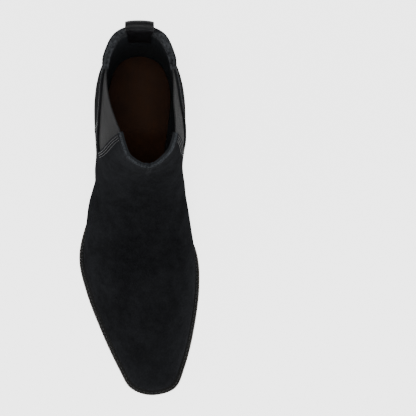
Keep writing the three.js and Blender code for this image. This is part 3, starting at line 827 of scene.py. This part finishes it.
def rubber():
    f = Finish("heel_rubber", Roughness=0.7, **{"Specular IOR Level": 0.35})
    speck = f.noise(700, 4, 0.6)
    f.set(Base_Color=f.blend(speck.ramp(0.35, 0.75), dye(19, 19, 19), dye(34, 33, 32)),
          Roughness=0.6 + speck * 0.25)
    return f.relief(speck, 0.08, 0.6).material


def thread(name, low, high):
    f = Finish(name, Roughness=0.6, **{"Specular IOR Level": 0.2, "Sheen Weight": 0.05})
    strands = f.noise(1700, 3, 0.6)
    f.set(Base_Color=f.blend(strands.ramp(0.3, 0.7), dye(*low), dye(*high)))
    return f.relief(strands, 0.12, 0.7).material


def hidden(name, low, high, scale, metallic=0.0, roughness=0.8, depth=0.15):
    """A plain finish with a grain, for what the boot hides."""
    f = Finish(name, Metallic=metallic, Roughness=roughness)
    grain, broad = f.noise(scale, 4, 0.6), f.noise(scale / 8, 3, 0.5)
    shade = grain.ramp(0.3, 0.7) * 0.6 + broad * 0.4
    f.set(Base_Color=f.blend(shade, dye(*low), dye(*high)), Roughness=roughness - 0.1 + grain * 0.2)
    return f.relief(grain, depth, 0.6).material


SUEDE_FINISH = suede()
THROAT_RIM = suede_rim("throat_rim", (27, 29, 31), (70, 73, 77), 900)
COLLAR_RIM = suede_rim("collar_rim", (17, 18, 20), (62, 64, 67), 420)
# Painted light: the medial gore takes a copy of the elastic painted a little lighter than the lateral
# gore's.
ELASTIC_LATERAL = elastic((27, 27, 28), (56, 56, 56))
ELASTIC_MEDIAL_PAINTED_LIGHTER = elastic((29, 29, 30), (58, 58, 58))
LINING_FINISH = lining_leather()
TAB_FINISH = tab_leather()
SOCK_FINISH = sock_leather()
WELT_FINISH = sole_leather("welt_leather", (9, 9, 9), (19, 19, 19), (44, 42, 40), 0.6, 0.08)
EDGE_FINISH = sole_leather("sole_edge", (34, 31, 27), (60, 54, 48), (92, 87, 80), 0.5, 0.1)
OUTSOLE_FINISH = sole_leather("outsole_edge", (52, 48, 43), (84, 78, 71), (116, 111, 104), 0.5, 0.1)
TREAD_FINISH = tread_leather()
RUBBER_FINISH = rubber()
DARK_THREAD = thread("dark_thread", (10, 10, 12), (30, 31, 34))
TAB_THREAD = thread("tab_thread", (44, 44, 45), (78, 78, 78))
WELT_THREAD = thread("welt_thread", (34, 34, 35), (66, 66, 66))
CANVAS = hidden("stiffened_canvas", (34, 33, 31), (62, 60, 57), 900)
CORK = hidden("ground_cork", (118, 86, 52), (176, 138, 92), 500, roughness=0.9, depth=0.4)
BOARD = hidden("insole_board", (116, 88, 58), (158, 124, 86), 700)
FOAM = hidden("cushion_foam", (176, 158, 112), (214, 196, 150), 1200, roughness=0.95)
STEEL = hidden("plain_steel", (120, 122, 126), (176, 178, 182), 400, 1.0, 0.35, 0.03)
BRASS = hidden("plain_brass", (160, 122, 62), (206, 170, 98), 400, 1.0, 0.35, 0.03)


# ------------------------------------------------------------------ how each piece rides
FLEX_START, FLEX_END = Vector((0, 0.120, 0.090)), Vector((0, 0.148, 0.111))


def upper_piece(obj, slot, *nodes):
    """A piece of the soft upper, with its placement baked into its points; the frame's parts it stands for
    are hidden.
    """
    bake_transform(obj)
    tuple(FLEX_START)
    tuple(FLEX_END)
    if nodes:
        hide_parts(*nodes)
    return obj


def fixed_piece(obj, slot, *nodes):
    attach(obj, "boot")
    if nodes:
        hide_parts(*nodes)
    return obj


# ------------------------------------------------------------------ the upper's panels
TIP_V = float(np.mean([FRONT.v_at_height(side, TIP_Z) for side in (LATERAL, MEDIAL)]))
JOIN_V = [SEAM.v_at_height(side, JOIN_Z) for side in (LATERAL, MEDIAL)]
TIP_S = [float(REAR.s_at(side, TIP_V)[0] + FRONT.s_at(side, TIP_V)[0]) / 2 for side in (LATERAL, MEDIAL)]
LOW_V, HIGH_V, TONGUE_SHARE = rows(0, TIP_V, 34), rows(TIP_V, 1, 36), rows(0, 1, 12)
SEAM_GAP = 0.15
BACK_S = 0.004  # the centre-back seam stands this far off the middle
NECK_COLUMNS, INSTEP_COLUMNS, FOREPART_COLUMNS, QUARTER_COLUMNS = 14, 22, 84, 48


def seam_s(side, v, gap=SEAM_GAP):
    return SEAM.moved(-gap).s_at(side, v)


def level(s, v):
    """The same s at each height v."""
    return np.full(len(v), float(s))


def vamp_nets(side):
    """The front part: below the gore's tip, in front of the gore, and the tongue behind its tip."""
    tip, tongue_v = TIP_S[side], TIP_V + (JOIN_V[side] - TIP_V) * TONGUE_SHARE
    tongue_edge = REAR.moved(SEAM_GAP).s_at(side, tongue_v)
    front_edge = FRONT.moved(-SEAM_GAP).s_at(side, HIGH_V)
    tongue_edge[0] = front_edge[0] = tip
    return [
        net_between(side, seam_s(side, LOW_V), level(tip, LOW_V), LOW_V, NECK_COLUMNS),
        net_between(side, level(tip, LOW_V), level(THROAT, LOW_V), LOW_V, INSTEP_COLUMNS),
        net_between(side, level(THROAT, LOW_V), level(LAST, LOW_V), LOW_V, FOREPART_COLUMNS),
        net_between(side, seam_s(side, tongue_v), tongue_edge, tongue_v, NECK_COLUMNS),
        net_between(side, front_edge, level(THROAT, HIGH_V), HIGH_V, INSTEP_COLUMNS),
        net_between(side, level(THROAT, HIGH_V), level(LAST, HIGH_V), HIGH_V, FOREPART_COLUMNS),
    ]


def quarter_nets(side, start=BACK_S):
    """The back part: behind the side seam, and above the join behind the gore."""
    low, high = rows(0, JOIN_V[side], 40), rows(JOIN_V[side], 1, 28)
    low_edge, high_edge = seam_s(side, low, -SEAM_GAP), REAR.moved(SEAM_GAP).s_at(side, high)
    high_edge[0] = low_edge[-1]
    return [net_between(side, level(start, low), low_edge, low, QUARTER_COLUMNS),
            net_between(side, level(start, high), high_edge, high, QUARTER_COLUMNS)]


def ripple(base, scale, seed):
    """A slow, even wander between -1 and 1 over the surface."""
    x, y, z = base[..., 0], base[..., 1], base[..., 2]
    total = 0
    for k in range(4):
        angle = seed * 2.4 + k * 1.9
        way = x * math.cos(angle) + y * math.sin(angle) + z * math.cos(angle * 1.7)
        total = total + np.sin(way / scale + seed + k)
    return total / 4


def between(x, rise, fall):
    """0, then 1 from the end of the rise to the start of the fall, then 0."""
    return smooth(*rise, x) * (1 - smooth(*fall, x))


TIP_DENT = {LATERAL: 0.7, MEDIAL: 0.3}  # depths of the folds of wear, in millimetres
INSTEP_FOLD, BALL_FOLD, SLUMP, WANDER = 0.28, 0.16, 0.3, 0.18


def wear_folds(side, s, v, base):
    """How far the suede stands off its last: the folds of wear, in millimetres."""
    y, z = base[..., 1], base[..., 2]
    dent = np.exp(-(((s - 4.6) / 0.5) ** 2)) * between(v, (0.12, 0.3), (0.42, 0.56)) * TIP_DENT[side]
    instep = between(s, (5.6, 6.6), (7.9, 8.8)) * smooth(0.55, 0.8, v)
    across = np.sin(y / 3.3 + ripple(base, 9, 3) * 1.6) * instep * INSTEP_FOLD
    ball = between(s, (8.0, 8.6), (9.2, 9.8)) * smooth(0.3, 0.6, v)
    flex = np.sin(y / 4.2 + ripple(base, 14, 5) * 1.4) * ball * BALL_FOLD
    back = (1 - smooth(2.6, 3.4, s)) * between(v, (0.42, 0.56), (0.72, 0.86))
    slump = np.sin(z / 4.4 + ripple(base, 16, 7)) * back * SLUMP
    free = smooth(0, 0.16, v) * (1 - smooth(0.985, 1.0, v) * (1 - smooth(THROAT, THROAT + 0.4, s)))
    return (dent + across + flex + slump + ripple(base, 11, 1) * WANDER) * free


REAR_TOP_S = [float(REAR.s_at(side, 1.0)[0]) for side in (LATERAL, MEDIAL)]
COLLAR_ROLL = 2.1  # how far the collar's padded edge stands out
TAB_EDGE_S = 0.62  # the tab's edge on the collar


def collar_roll(side, s, v):
    """The padded edge of the collar from beside the tab to its corner at the gore."""
    end = REAR_TOP_S[side]
    along = between(s, (TAB_EDGE_S, TAB_EDGE_S + 0.75), (end - 0.4, end + 0.02))
    return COLLAR_ROLL * along * smooth(0.84, 0.95, v) * (1 - 0.55 * smooth(0.985, 1.0, v))


def closing(v, far, near):
    """A depth that runs from far to near as it meets the top edge."""
    return far + (near - far) * smooth(0.965, 1.0, v)


def suede_in(v):
    return closing(v, SUEDE, MIDDLE + 0.3)


def lining_out(v):
    return closing(v, DEEP, MIDDLE + 0.4)


def rim_wall(s, v, is_inside, is_wall):
    return is_wall and v > 0.99 and s < THROAT + 0.3


def collar_band(s, v, is_inside, is_wall):
    return (is_wall and v > 0.99) or (is_inside and v > 0.905)


SIDES = ((LATERAL, "lateral"), (MEDIAL, "medial"))


def upper():
    vamp = panel("suede_vamp", vamp_nets(LATERAL) + vamp_nets(MEDIAL), 0, suede_in, SUEDE_FINISH, 0.4,
                 wear_folds, [(THROAT_RIM, rim_wall)])
    upper_piece(vamp, "suede", "vamp")
    for side, word in SIDES:
        quarter = panel(f"suede_quarter_{word}", quarter_nets(side), 0, suede_in, SUEDE_FINISH, 0.4,
                        wear_folds, [(COLLAR_RIM, rim_wall)], collar_roll)
        upper_piece(quarter, "suede", f"quarter_{word}")
    front = panel("front_lining", vamp_nets(LATERAL) + vamp_nets(MEDIAL), lining_out, INSIDE,
                  LINING_FINISH, 0.25)
    upper_piece(front, "lining_leather", "vamp_lining")
    back = panel("back_lining", quarter_nets(LATERAL, 0) + quarter_nets(MEDIAL, 0), lining_out, INSIDE,
                 LINING_FINISH, 0.25, zones=[(COLLAR_RIM, collar_band)])
    upper_piece(back, "lining_leather", "quarter_lining")


GORE_TUCK = 5.0  # how far the elastic runs on under the suede


def gores():
    for (side, word), finish in zip(SIDES, (ELASTIC_LATERAL, ELASTIC_MEDIAL_PAINTED_LIGHTER)):
        v = rows(TIP_V - 0.03, 0.992, 40)
        rear = REAR.moved(GORE_TUCK).s_at(side, v)
        front = FRONT.moved(-GORE_TUCK).s_at(side, v)
        net = net_between(side, rear, front, v, 30)
        gore = panel(f"elastic_{word}", [net], MIDDLE, MIDDLE + STIFFENER, finish, 0.2)
        upper_piece(gore, "elastic", f"gore_{word}")


class HeightLine:
    """A line in the side view, read as a height at a y."""

    def __init__(self, points):
        self.y, self.z = drawn_line(points, 31).T

    def v_at(self, side, s):
        """The height v at which the skin passes the line."""
        def under(v):
            point = skin(side, s, v)
            return point[..., 2] < np.interp(point[..., 1], self.y, self.z)

        return narrowed(np.zeros(np.shape(s)), np.ones(np.shape(s)), under, 24)[1]


BACKING_TOP_V = 0.972
COUNTER_GAP_V = 0.004
BACKING_GAP = 0.3  # millimetres from the seams
BACKING_TUCK = GORE_TUCK + 0.5
TOE_STOP_S = LAST - 0.06


def stiffeners():
    """The counter, collar reinforcement, toe puff and interlining between suede and lining."""
    counter_line = HeightLine(COUNTER_TOP)
    counter, collar, puff, backing = [], [], [], []
    share = rows(0, 1, 30)
    for side in (LATERAL, MEDIAL):
        seam = float(seam_s(side, 0.3, -BACKING_GAP)[0])
        s = share[None, :] * seam
        top = counter_line.v_at(side, share * seam)
        counter.append((side, s, rows(0, 1, 20)[:, None] * (top - COUNTER_GAP_V)[None, :]))
        base = (top + COUNTER_GAP_V)[None, :]
        v = rows(0, 1, 24)[:, None] * (BACKING_TOP_V - top - COUNTER_GAP_V)[None, :] + base
        heights = rows(0.3, BACKING_TOP_V, 40)
        right = np.minimum(REAR.moved(BACKING_TUCK).s_at(side, heights), seam)
        collar.append((side, np.minimum(s, np.interp(v, heights, right)), v))

        puff_v = rows(0, 1, 30)
        puff_s = crossing_y(side, PUFF_BACK_Y, puff_v)
        puff.append(net_between(side, puff_s, level(TOE_STOP_S, puff_v), puff_v, 26))

        # Over the throat the interlining stays just under the topline; in front of it, it meets its mirror.
        low_v, high_v, ridge_v = (rows(0, TIP_V - 0.06, 20), rows(TIP_V - 0.06, BACKING_TOP_V, 26),
                                  rows(TIP_V - 0.06, 1, 26))
        front = np.maximum(FRONT.moved(-BACKING_TUCK).s_at(side, high_v),
                           seam_s(side, high_v[:1], BACKING_GAP))
        low_end, ridge_end = (crossing_y(side, PUFF_BACK_Y + GAP, v) for v in (low_v, ridge_v))
        backing += [net_between(side, seam_s(side, low_v, BACKING_GAP), low_end, low_v, 60),
                    net_between(side, front, level(THROAT, high_v), high_v, 20),
                    net_between(side, level(THROAT, ridge_v), ridge_end, ridge_v, 50)]
    for name, nets, node in (("heel_stiffener", counter, "heel_counter"),
                             ("collar_backing", collar, "collar_reinforcement"),
                             ("toe_stiffener", puff, "toe_puff"),
                             ("vamp_backing", backing, "vamp_interlining")):
        upper_piece(panel(name, nets, MIDDLE, MIDDLE + STIFFENER, CANVAS, 0), "stiffener", node)


# ------------------------------------------------------------------ the pull tab
def side_of(x):
    return LATERAL if x < 0 else MEDIAL


def topline_over(x):
    """The topline's point over a given x at the back."""
    side = side_of(x)
    s = narrowed(0.0, 2.0, lambda s: abs(topline(side, s)[0]) < abs(x), 30)[0]
    return topline(side, s)


def leg_point(x, v, depth):
    """A point of a leg of the tab at a given x, at height v and a depth under the skin."""
    side = side_of(x)
    s = narrowed(0.0, 3.0, lambda s: abs(skin(side, s, v)[0]) < abs(x), 26)[0]
    return skin(side, s, v) - skin_normal(side, s, v) * depth


def grid_normals(grid):
    return unit(np.cross(np.gradient(grid, axis=0), np.gradient(grid, axis=1)))


def strip_shell(name, grid, thick, material, edge):
    """A strap of even thickness round a grid of middle points."""
    normal = grid_normals(grid)
    count, columns = grid.shape[:2]
    top, bottom = (grid + normal * thick / 2).reshape(-1, 3), (grid - normal * thick / 2).reshape(-1, 3)
    step = count * columns

    def at(i, j):
        return i * columns + j

    faces = []
    for i in range(count - 1):
        for j in range(columns - 1):
            quad = (at(i, j), at(i + 1, j), at(i + 1, j + 1), at(i, j + 1))
            faces += [quad, tuple(k + step for k in quad[::-1])]
    ring = [at(i, 0) for i in range(count)] + [at(count - 1, j) for j in range(1, columns)]
    ring += [at(i, columns - 1) for i in range(count - 2, -1, -1)]
    ring += [at(0, j) for j in range(columns - 2, 0, -1)]
    faces += [(b, a, a + step, b + step) for a, b in zip(ring, ring[1:] + ring[:1])]
    obj = new_object(name, np.concatenate([top, bottom]), faces, material)
    lay_out(obj, np.tile(metric_places(grid), (2, 1)))
    soften(obj, edge, 3)
    return obj


TAB_BULGE = 1.1  # how far the loop swells past its legs
LOOP_FLATNESS = 0.96
LEG_TOP_V = 0.995
INNER_LEG_END = 0.9  # of the tab's width, where the inner leg is stitched down
TAB_COLUMNS, LOOP_ROWS, LEG_ROWS = 12, 16, 16


def tab_grid():
    """Middle points of the pull tab: up inside the collar, over it in a loop and down outside."""
    outer = GAP + TAB_LEATHER / 2
    inner = -(INSIDE + GAP + TAB_LEATHER / 2)
    centre, half = (outer + inner) / 2, (outer - inner) / 2
    wide, crown = half + TAB_BULGE, TAB_STAND - TAB_LEATHER / 2
    arc = [(centre + math.cos(angle) * wide, crown - wide + math.sin(angle) * wide * LOOP_FLATNESS)
           for angle in np.linspace(math.pi, 0, LOOP_ROWS + 1)]
    top = skin(LATERAL, 0.0, 1.0)
    rib = top - skin(LATERAL, 0.0, 0.98)
    up = np.array([0, *rib[1:]]) / np.linalg.norm(rib[1:])
    out = np.array([0, up[2], -up[1]])

    def v_below(drop):
        height = float(top[2]) - drop - SEAT
        return float(HeightLine([[0, height], [400, height]]).v_at(LATERAL, 0.0))

    inner_v, outer_v = v_below(TAB_INNER_LEG), v_below(TAB_OUTER_LEG)
    share = rows(0, 1, LEG_ROWS)
    columns = []
    for x in np.linspace(-TAB_WIDTH / 2, TAB_WIDTH / 2, TAB_COLUMNS + 1):
        base = topline_over(x)
        inner_leg = [leg_point(x * (INNER_LEG_END + (1 - INNER_LEG_END) * t),
                               inner_v + (LEG_TOP_V - inner_v) * t, -inner) for t in share]
        loop = [base + out * o + up * u for o, u in arc]
        outer_leg = [leg_point(x, LEG_TOP_V + (outer_v - LEG_TOP_V) * t, -outer) for t in share]
        columns.append(inner_leg + loop + outer_leg)
    return np.array(columns).transpose(1, 0, 2)


def smooth_rows(grid, passes):
    for _ in range(passes):
        grid[1:-1] = grid[1:-1] * 0.5 + (grid[:-2] + grid[2:]) * 0.25
    return grid


TAB_FLEX_ZONE = (-1, 5)  # millimetres from the topline


def pull_tab():
    """The strap; its middle points are given back for its stitches."""
    grid = smooth_rows(tab_grid(), 3)
    strap = strip_shell("pull_tab_strap", grid, TAB_LEATHER, TAB_FINISH, 0.3)
    top = topline(LATERAL, 0)
    low, high = (Vector((0, top[1] / 1000, (top[2] + rise) / 1000)) + SHIFT for rise in TAB_FLEX_ZONE)
    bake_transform(strap)
    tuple(low)
    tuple(high)
    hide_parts("pull_tab", "pull_tab_inner_leg", "pull_tab_outer_leg")
    return grid


# ------------------------------------------------------------------ the sole and heel
def edge_rows(inset=lambda s: 0.0):
    """Matching points of the lateral and medial edges, from the back to the toe."""
    return [[inset_edge(side, s, inset(s)) for side in (LATERAL, MEDIAL)]
            for s in LAST * np.linspace(0, 1, 150)]


def plate(name, pairs, low, high, material, columns, edge):
    """A flat or following layer between two edges, with its height from its y."""
    tops, bottoms, faces = [], [], []
    share = rows(0, 1, columns, 0.6)
    for a, b in pairs:
        for t in share:
            x, y = a + (b - a) * t
            tops.append((x, y, high(y)))
            bottoms.append((x, y, low(y)))
    wide, step = columns + 1, len(tops)
    for i in range(len(pairs) - 1):
        for j in range(columns):
            a = i * wide + j
            quad = (a, a + wide, a + wide + 1, a + 1)
            faces += [quad, tuple(k + step for k in quad[::-1])]
        for a, b in ((i * wide, (i + 1) * wide), ((i + 1) * wide + columns, i * wide + columns)):
            faces.append((b, a, a + step, b + step))
    for i, flip in ((0, False), (len(pairs) - 1, True)):
        for j in range(columns):
            a, b = i * wide + j, i * wide + j + 1
            face = (a, b, b + step, a + step)
            faces.append(face[::-1] if flip else face)
    obj = new_object(name, tops + bottoms, faces, material)
    weld(obj, 2e-6)
    obj.data.validate()
    soften(obj, edge, 3, 40)
    return obj


WELT_INSET = 1.1  # from the outsole's edge
BAND_ACROSS = (0.0, 0.1, 0.5, 1.0)


def edge_band(name, keep):
    """A welt-like band that follows the sole's edge round the toe or the heel, where keep(y) holds."""
    low, high = above(OUTSOLE), above(OUTSOLE + WELT)
    count = 190
    path = [(LATERAL, s) for s in np.linspace(0, LAST, count)]
    path += [(MEDIAL, s) for s in np.linspace(LAST, 0, count)]
    if keep(160 * KY):
        path = path[count:] + path[:count]
    run = [(side, s) for side, s in path if keep(sole_edge(side, s)[1])]
    points, faces = [], []
    for side, s in run:
        rim, root = inset_edge(side, s, WELT_INSET), inset_edge(side, s, overhang(s) + WELT_TUCK)
        line = [rim + (root - rim) * t for t in BAND_ACROSS]
        points += [(x, y, high(y)) for x, y in line] + [(x, y, low(y)) for x, y in reversed(line)]
    size = 2 * len(BAND_ACROSS)
    for i in range(len(run) - 1):
        for j in range(size):
            a, b = i * size + j, i * size + (j + 1) % size
            faces.append((a, a + size, b + size, b))
    faces += [tuple(range(size)), tuple(range(len(points) - 1, len(points) - size - 1, -1))]
    obj = new_object(name, points, faces, WELT_FINISH)
    weld(obj, 2e-5)
    work = bmesh.new()
    work.from_mesh(obj.data)
    bmesh.ops.recalc_face_normals(work, faces=work.faces)
    work.to_mesh(obj.data)
    work.free()
    soften(obj, 0.7, 3, 40)
    return obj


def above(height):
    return lambda y: float(underside(y)) + height


def heel_pairs(inset, front_y):
    """Edge pairs of a piece of the heel: from the back to a straight front."""
    front_s = narrowed(0.0, 8.0, lambda s: inset_edge(MEDIAL, s, inset)[1] > front_y, 30)[0]
    pairs = []
    for s in front_s * np.linspace(0, 1, 70):
        a, b = (inset_edge(side, s, inset) for side in (LATERAL, MEDIAL))
        y = max((a[1] + b[1]) / 2, front_y)
        pairs.append([np.array([a[0], y]), np.array([b[0], y])])
    return pairs


SOCK_HEIGHT = OUTSOLE + WELT + GAP + INSOLE_BOARD + GAP
SOCK_MARGIN = INSIDE + INSOLE_CLEARANCE - 1.3  # from the foot of the upper's outer face
CUSHION_RAMP = 18
HEEL_INSET, HEEL_TAPER, BREAST_LEAN = 0.5, 0.55, 0.5


def heel_layer(name, tier, low, high, material, edge):
    """A layer of the heel; each tier down is a little smaller than the one over it."""
    pairs = heel_pairs(HEEL_INSET + HEEL_TAPER * tier, BREAST_Y + BREAST_LEAN * tier)
    return plate(name, pairs, lambda y: low, lambda y: high, material, 10, edge)


def over_cushion(height):
    """That high over the sole's underside, and over the heel cushion behind the breast."""
    swell = HEEL_CUSHION + GAP
    return lambda y: above(height)(y) + swell * float(smooth(BREAST_Y - CUSHION_RAMP, BREAST_Y, y))


def sole_unit():
    outsole = plate("outsole_plate", edge_rows(), above(0), above(OUTSOLE), OUTSOLE_FINISH, 12, 0.9)
    outsole.data.materials.append(TREAD_FINISH)
    for polygon in outsole.data.polygons:
        if polygon.normal.z < -0.5:
            polygon.material_index = 1
    fixed_piece(outsole, "sole_leather", "outsole")
    fixed_piece(edge_band("welt_strip", lambda y: y < WELT_BACK_Y), "sole_leather", "welt")
    fixed_piece(edge_band("heel_rand_strip", lambda y: y > WELT_BACK_Y + GAP), "sole_leather", "heel_rand")
    each = (HEEL_HEIGHT - TOP_PIECE) / LIFT_COUNT
    for i in range(LIFT_COUNT):
        low = TOP_PIECE + each * (LIFT_COUNT - 1 - i)
        lift = heel_layer(f"leather_lift_{i + 1}", i, low, low + each - GAP / 3, EDGE_FINISH, 0.35)
        fixed_piece(lift, "sole_leather", f"heel_lift_{i + 1}")
    base = heel_layer("rubber_top_piece", LIFT_COUNT, 0.0, TOP_PIECE - GAP / 3, RUBBER_FINISH, 0.6)
    fixed_piece(base, "heel_rubber", "top_piece")
    sock = plate("sock_lining", edge_rows(lambda s: overhang(s) + SOCK_MARGIN), over_cushion(SOCK_HEIGHT),
                 over_cushion(SOCK_HEIGHT + SOCK), SOCK_FINISH, 16, 0.3)
    fixed_piece(sock, "sock_leather", "sock_liner")


HIDDEN_FINISHES = (("filler", CORK), ("insole_board", BOARD), ("heel_cushion", FOAM), ("shank", STEEL),
                   ("heel_nail", STEEL), ("top_piece_pin", BRASS))


def hidden_parts():
    """What the boot hides keeps its solid and takes a real finish."""
    for node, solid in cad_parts.items():
        for start, finish in HIDDEN_FINISHES:
            if node.startswith(start):
                for slot in solid.material_slots:
                    slot.material = finish


# ------------------------------------------------------------------ the stitching
STITCH_REACH = 0.3  # millimetres each way, for a stitch's direction
STITCH_SEAT = 0.06  # how far a stitch's middle stands off the suede


def capsule(radius, length, sides=6):
    """A stitch along +X, rounded at its ends: its points and faces."""
    end, shoulder = length / 2, length / 2 - radius * 0.6
    rings = [(-end, 0.35), (-shoulder, 1.0), (shoulder, 1.0), (end, 0.35)]
    points = [(x, math.cos(a) * radius * k, math.sin(a) * radius * k)
              for x, k in rings for a in np.linspace(0, 2 * math.pi, sides, endpoint=False)]
    faces = []
    for i in range(len(rings) - 1):
        for j in range(sides):
            a, b = i * sides + j, i * sides + (j + 1) % sides
            faces.append((a, b, b + sides, a + sides))
    last = (len(rings) - 1) * sides
    faces += [tuple(range(sides))[::-1], tuple(range(last, last + sides))]
    return np.array(points), faces


def stitch_row(name, runs, pitch, length, radius, material):
    """Stitches along each run of points and normals, evenly spaced, as one object."""
    shape, shape_faces = capsule(radius, length)
    points, faces = [], []
    for line, normals in runs:
        distance = np.concatenate([[0], np.linalg.norm(np.diff(line, axis=0), axis=1).cumsum()])
        end = distance[-1]

        def read(values, at):
            return np.array([np.interp(at, distance, values[:, axis]) for axis in range(3)])

        count = max(1, round(end / pitch))
        for k in range(count):
            at = (k + 0.5) * end / count
            along = unit(read(line, min(at + STITCH_REACH, end)) - read(line, at - STITCH_REACH))
            across = unit(np.cross(read(normals, at), along))
            start = len(points)
            points.extend(shape @ np.stack([along, across, np.cross(along, across)]) + read(line, at))
            faces.extend(tuple(i + start for i in face) for face in shape_faces)
    return new_object(name, points, faces, material)


def on_skin(side, s, v, raise_by=STITCH_SEAT):
    """Points on the outside of the suede, just proud of it."""
    s, v = np.broadcast_arrays(np.asarray(s, float), np.asarray(v, float))
    base, normal = skin(side, s, v), skin_normal(side, s, v)
    off = raise_by + wear_folds(side, s, v, base)
    return base + normal * off[..., None], normal


def line_stitches(side, line, offsets, v):
    """Runs beside a side-view line, at each offset from it."""
    return [on_skin(side, line.moved(offset).s_at(side, v), v) for offset in offsets]


COLLAR_STITCH_V = 0.93
BACK_STITCH_S = 0.055


def upper_stitching(tab):
    thread = dict(pitch=2.7, length=2.1, radius=0.24, material=DARK_THREAD)
    collar = []
    for side, word in SIDES:
        gore_v, seam_v = np.linspace(TIP_V + 0.015, 0.985, 60), np.linspace(0.1, JOIN_V[side] + 0.03, 40)
        for name, line, offsets, v in (("gore_front", FRONT, (-1.5, -3.1, -4.7), gore_v),
                                       ("gore_rear", REAR, (1.5, 3.1), gore_v),
                                       ("side_seam", SEAM, (1.6, 3.2), seam_v)):
            runs = line_stitches(side, line, offsets, v)
            upper_piece(stitch_row(f"{name}_stitches_{word}", runs, **thread), "suede")
        along = np.linspace(TAB_EDGE_S, float(REAR.moved(2).s_at(side, 0.982)[0]), 60)
        seat = collar_roll(side, along, COLLAR_STITCH_V) + STITCH_SEAT
        collar.append(on_skin(side, along, COLLAR_STITCH_V, seat))
    upper_piece(stitch_row("collar_stitches", collar, **thread), "suede")
    back = [on_skin(side, BACK_STITCH_S, np.linspace(0.1, 0.74, 50)) for side in (LATERAL, MEDIAL)]
    upper_piece(stitch_row("back_seam_stitches", back, **thread), "suede")

    # On the tab: across the end of each leg, and a box at the end of the outer one.
    normals = grid_normals(tab)
    face = tab + normals * (TAB_LEATHER / 2 + 0.05)
    inner_side, box = slice(1, -1), slice(-7, -1)
    places = ((1, inner_side), (-2, inner_side), (-7, inner_side), (box, 1), (box, -2))
    runs = [(face[place], normals[place]) for place in places]
    tab_row = stitch_row("tab_stitches", runs, 2.2, 1.7, 0.22, TAB_THREAD)
    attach(tab_row, "shaft_back")


def welt_stitching():
    path = [(LATERAL, s) for s in np.linspace(0, LAST, 400)]
    path += [(MEDIAL, s) for s in np.linspace(LAST, 0, 400)][1:]
    front = [(side, s) for side, s in path if sole_edge(side, s)[1] < WELT_BACK_Y - 2]
    line = np.array([inset_edge(side, s, 2.6) for side, s in front])
    points = np.column_stack([line, underside(line[:, 1]) + OUTSOLE + WELT + 0.08])
    normals = np.tile([0.0, 0.0, 1.0], (len(points), 1))
    row = stitch_row("welt_stitches", [(points, normals)], 3.4, 2.5, 0.34, WELT_THREAD)
    fixed_piece(row, "sole_leather")


upper()
stiffeners()
gores()
tab_middle = pull_tab()
sole_unit()
hidden_parts()
upper_stitching(tab_middle)
welt_stitching()


# ------------------------------------------------------------------ floor, light and camera
FLOOR_HALF = 4.0
FLOOR_GLOW = 3.6
FLOOR_DARK, FLOOR_LIGHT = (0.80, 0.80, 0.80, 1.0), (0.82, 0.82, 0.82, 1.0)


def floor():
    corners = [(x * FLOOR_HALF, y * FLOOR_HALF, 0) for x, y in ((-1, -1), (1, -1), (1, 1), (-1, 1))]
    mesh = bpy.data.meshes.new("floor")
    mesh.from_pydata(corners, [], [(0, 1, 2, 3)])
    finish = Finish("pale_floor", Roughness=1.0,
                    **{"Specular IOR Level": 0.0, "Emission Strength": FLOOR_GLOW})
    pale = finish.blend(finish.noise(3.0, 2, 0.5), FLOOR_DARK, FLOOR_LIGHT)
    finish.set(Base_Color=pale, Emission_Color=pale)
    mesh.materials.append(finish.material)
    obj = bpy.data.objects.new("floor", mesh)
    collection.objects.link(obj)


def softbox(name, place, aim, size, power, tint=(1, 1, 1)):
    light = bpy.data.lights.new(name, "AREA")
    light.shape, light.size, light.energy, light.color = "DISK", size, power, tint
    obj = bpy.data.objects.new(name, light)
    obj.location = place
    obj.rotation_euler = (Vector(aim) - Vector(place)).to_track_quat("-Z", "Y").to_euler()
    collection.objects.link(obj)


def studio():
    world = bpy.data.worlds.new("studio")
    world.use_nodes = True
    sky = world.node_tree.nodes["Background"]
    sky.inputs["Color"].default_value = (0.95, 0.97, 1.0, 1.0)
    sky.inputs["Strength"].default_value = 0.4
    bpy.context.scene.world = world
    softbox("overhead", (-0.06, -0.06, 2.0), (0, 0.03, 0.05), 1.0, 24, (1.0, 0.99, 0.97))
    softbox("front_fill", (0.9, -1.2, 1.1), (0, 0, 0.05), 1.2, 4)
    softbox("left_fill", (-1.4, -0.2, 0.9), (0, 0, 0.06), 1.2, 4, (0.96, 0.98, 1.0))


def camera():
    data = bpy.data.cameras.new("camera")
    data.lens, data.sensor_width = 107.2, 36.0
    obj = bpy.data.objects.new("camera", data)
    obj.location = (0, 0.0111, 1.108)
    obj.rotation_euler = (0, math.radians(-3.165), 0)
    collection.objects.link(obj)
    bpy.context.scene.camera = obj


floor()
studio()
camera()
